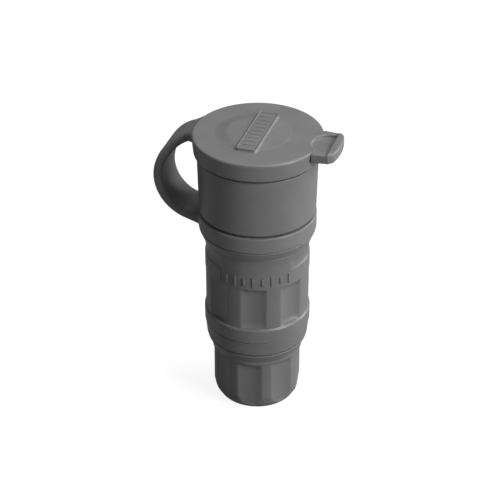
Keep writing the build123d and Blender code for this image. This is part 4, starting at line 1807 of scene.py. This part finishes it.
@dataclass
class CordNut:
    """Fluted compression nut.

    Attributes:
        turning: The tree that turns it.
        flutes: The scoops in its wall.
        cord_hole: Radius of the cord's hole.
        thread_bore: Radius of the bore that takes the spigot's thread.
        mouth: Level of its upper end.
    """

    turning: TurningTree
    flutes: Flutes = Flutes(20.1, sweep=32.0, depth=1.35, turn=7.3, foot=2.4, top=25.7)
    cord_hole: float = 10.5
    thread_bore: float = 17.05
    mouth: float = 32.7

    def corners(self) -> list[Corner]:
        """Corners of the nut's section: radius, level and rounding.

        Returns:
            The corners, counted once round the section.
        """
        wall = self.flutes
        foot = [(self.cord_hole, 0.0, 0.4), (17.6, 0.0, 1.0), (19.4, 3.0, 2.0)]
        fluted_wall = [(wall.land_radius, 6.5, 2.0), (wall.land_radius, wall.top, 0.15)]
        flange = [(20.7, 26.2, 0.25), (20.7, 28.0, 1.2), (22.7, 32.0, 0.4), (22.7, self.mouth, 0.3)]
        bore = [(self.thread_bore, self.mouth, 0.4), (self.thread_bore, 20.5), (15.2, 20.5), (15.2, 4.0)]
        floor = [(self.cord_hole, 4.0, 0.3)]
        return [Corner(*spot) for spot in foot + fluted_wall + flange + bore + floor]

    def build(self, material: bpy.types.Material) -> bpy.types.Object:
        """Builds the nut.

        Args:
            material: Its finish.

        Returns:
            The piece, riding on the nut's body.
        """
        piece = self.turning.turned("fluted_nut", self.corners(), material, self.flutes)
        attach(piece, Body.NUT.value)
        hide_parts("cord_nut")
        return piece


@dataclass(frozen=True)
class Lamp:
    """A soft rectangular lamp.

    Attributes:
        name: Its name.
        azimuth: Direction it shines from, in degrees, counted as the camera's is.
        elevation: Height above the horizon in degrees.
        distance: Distance from the object in metres.
        width: Width of its face in metres.
        height: Height of its face in metres.
        power: Power in watts.
    """

    name: str
    azimuth: float
    elevation: float
    distance: float
    width: float
    height: float
    power: float


def stand_round(
    target: Vector, azimuth: float, elevation: float, distance: float, name: str,
    data: bpy.types.Camera | bpy.types.Light,
) -> bpy.types.Object:
    """Sets up a camera or a lamp round a place and turns it to face that place.

    Args:
        target: The place, in metres.
        azimuth: 0 is towards -Y and 90 towards +X, in degrees.
        elevation: Height above the horizon, in degrees.
        distance: Distance from the place, in metres.
        name: Name of the new object.
        data: The camera or the lamp.

    Returns:
        The new object.
    """
    a, e = math.radians(azimuth), math.radians(elevation)
    back = Vector((math.sin(a) * math.cos(e), -math.cos(a) * math.cos(e), math.sin(e)))
    made = bpy.data.objects.new(name, data)
    bpy.context.scene.collection.objects.link(made)
    made.location = target + back * distance
    made.rotation_euler = (-back).to_track_quat("-Z", "Y").to_euler()
    return made


@dataclass
class Studio:
    """Floor, world, lamps and the camera at the photograph's viewing angle.

    Attributes:
        azimuth: Direction of the camera, in degrees.
        elevation: Its height above the horizon, in degrees.
        distance: Its distance from the place that it looks at, in metres.
        lens: Its focal length in millimetres.
        sensor: Width of its picture in millimetres.
        look_height: Level of the place that it looks at, in metres.
        axis_shift: How far that place lies to the left of the axis, in metres.
        floor_size: Length of the floor's sides, in metres.
        floor_tone: Share of the light that the floor gives back.
        floor_glow: How white the floor looks without its light.
        ambient: Strength of the even light.
        mirrored_share: How white the studio is in reflections.
        lamps: Its lamps.
    """

    azimuth: float = 17.5
    elevation: float = 32.8
    distance: float = 0.7444
    lens: float = 118.9
    sensor: float = 36.0
    look_height: float = 0.0757
    axis_shift: float = 0.00335
    floor_size: float = 8.0
    floor_tone: float = 0.18
    floor_glow: float = 0.88
    ambient: float = 0.07
    mirrored_share: float = 0.12
    lamps: tuple[Lamp, ...] = (
        Lamp("key", 70.0, 27.0, 0.9, 0.3, 0.7, 8.5),
        Lamp("rim", 128.0, 18.0, 0.9, 0.3, 0.7, 5.0),
        Lamp("top", 150.0, 74.0, 1.0, 0.8, 0.8, 6.3),
        Lamp("fill", -45.0, 22.0, 1.0, 0.6, 0.6, 0.9),
    )

    def place_camera(self) -> None:
        """Makes the scene's camera."""
        data = bpy.data.cameras.new("view")
        data.lens = self.lens
        data.sensor_width = self.sensor
        a, shift = math.radians(self.azimuth), self.axis_shift
        target = Vector((-shift * math.cos(a), -shift * math.sin(a), self.look_height))
        camera = stand_round(target, self.azimuth, self.elevation, self.distance, "view", data)
        bpy.context.scene.camera = camera

    def place_lamps(self) -> None:
        """Makes the soft lamps, each facing the object's middle."""
        middle = Vector((0, 0, self.look_height))
        for lamp in self.lamps:
            data = bpy.data.lights.new(lamp.name, "AREA")
            data.shape = "RECTANGLE"
            data.size = lamp.width
            data.size_y = lamp.height
            data.energy = lamp.power
            stand_round(middle, lamp.azimuth, lamp.elevation, lamp.distance, lamp.name, data)

    def seen_share(self, tree: NodeTree) -> Socket:
        """One for rays of the camera, a set share for reflections and glass, nought for light.

        Args:
            tree: The tree that the nodes are added to.

        Returns:
            The share.
        """
        path = tree.node("ShaderNodeLightPath").outputs
        passed_on = tree.math("MAXIMUM", path["Is Glossy Ray"], path["Is Transmission Ray"])
        mirrored = tree.math("MULTIPLY", passed_on, self.mirrored_share)
        return tree.math("MAXIMUM", path["Is Camera Ray"], mirrored)

    def light_world(self) -> None:
        """White where it is seen, and a dim even light elsewhere."""
        world = bpy.data.worlds.new("studio")
        world.use_nodes = True
        bpy.context.scene.world = world
        tree = NodeTree(world.node_tree)
        mixed = tree.node("ShaderNodeMixShader", Fac=self.seen_share(tree))
        for socket, strength in zip(mixed.inputs[1:], (self.ambient, 1.0)):
            tree.feed(socket, tree.out("ShaderNodeBackground", Color=(1, 1, 1, 1), Strength=strength))
        tree.node("ShaderNodeOutputWorld", Surface=mixed.outputs[0])

    def lay_floor(self) -> None:
        """Lays the pale floor, which keeps the object's shadow."""
        half = self.floor_size / 2
        corners = [(-half, -half, 0), (half, -half, 0), (half, half, 0), (-half, half, 0)]
        mesh = bpy.data.meshes.new("floor")
        mesh.from_pydata(corners, [], [(0, 1, 2, 3)])
        floor = bpy.data.objects.new("floor", mesh)
        bpy.context.scene.collection.objects.link(floor)
        tree = SurfaceTree("pale_floor")
        matte = tree.out("ShaderNodeBsdfDiffuse", Color=(*[self.floor_tone] * 3, 1))
        seen = tree.math("MULTIPLY", self.seen_share(tree), self.floor_glow)
        glow = tree.out("ShaderNodeEmission", Color=(1, 1, 1, 1), Strength=seen)
        both = tree.node("ShaderNodeAddShader")
        tree.feed(both.inputs[0], matte)
        tree.feed(both.inputs[1], glow)
        tree.node("ShaderNodeOutputMaterial", Surface=both.outputs[0])
        mesh.materials.append(tree.material)

    def build(self) -> None:
        """Sets up the whole studio."""
        bpy.context.scene.view_settings.view_transform = "Standard"
        self.place_camera()
        self.place_lamps()
        self.light_world()
        self.lay_floor()


@dataclass
class Finishes:
    """Every finish of the plug, each named for its slot.

    Attributes:
        cap_rubber: The cap, its strap and its ring.
        housing_rubber: Collar, shell and nut.
        seal_rubber: Seal, gasket and gland.
        nylon: Contact holder, terminal block and cord clamp.
        washer_plastic: Slip washer.
        blade_brass: Blades.
        screw_steel: Screws, nuts and pressure plates.
    """

    cap_rubber: MouldedFinish = MouldedFinish("cap_rubber", (0.16, 0.16, 0.16), 0.42, specular=0.4)
    housing_rubber: MouldedFinish = MouldedFinish(
        "housing_rubber", (0.15, 0.15, 0.15), 0.4, specular=0.4
    )
    seal_rubber: MouldedFinish = MouldedFinish("seal_rubber", (0.03, 0.03, 0.03), 0.6)
    nylon: MouldedFinish = MouldedFinish("black_nylon", (0.06, 0.06, 0.06), 0.5, grain=0.02)
    washer_plastic: MouldedFinish = MouldedFinish("washer_plastic", (0.72, 0.72, 0.7), 0.4)
    blade_brass: MetalFinish = MetalFinish("blade_brass", (0.8, 0.6, 0.28), 0.28, (0.62, 0.44, 0.2))
    screw_steel: MetalFinish = MetalFinish("screw_steel", (0.62, 0.62, 0.6), 0.32, (0.45, 0.45, 0.44))

    def dress_nodes(self) -> dict[str, bpy.types.Material]:
        """Builds every finish and gives each CAD node its own.

        Returns:
            The material of each slot.
        """
        built = {slot.value: getattr(self, slot.value).build() for slot in Slot}
        slots = {entry["node"]: entry["material_slot"] for entry in frame["record"]["subparts"]}
        for name, node in frame["nodes"].items():
            node.data.materials.clear()
            node.data.materials.append(built[slots[name]])
        return built


def main() -> None:
    """Builds the plug's looks around the frame."""
    logging.basicConfig(level=logging.INFO, format="%(name)s %(message)s")
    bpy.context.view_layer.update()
    Studio().build()
    finishes = Finishes().dress_nodes()
    rubber, skin = finishes[Slot.CAP_RUBBER.value], finishes[Slot.HOUSING_RUBBER.value]
    line = StrapLine()
    turning = TurningTree()
    ClosureCap(line).build(rubber)
    ClosureStrap(line).build(rubber)
    StrapRing(line).build(rubber)
    Housing(turning).build(skin)
    CordNut(turning).build(skin)


if __name__ == "__main__":
    main()
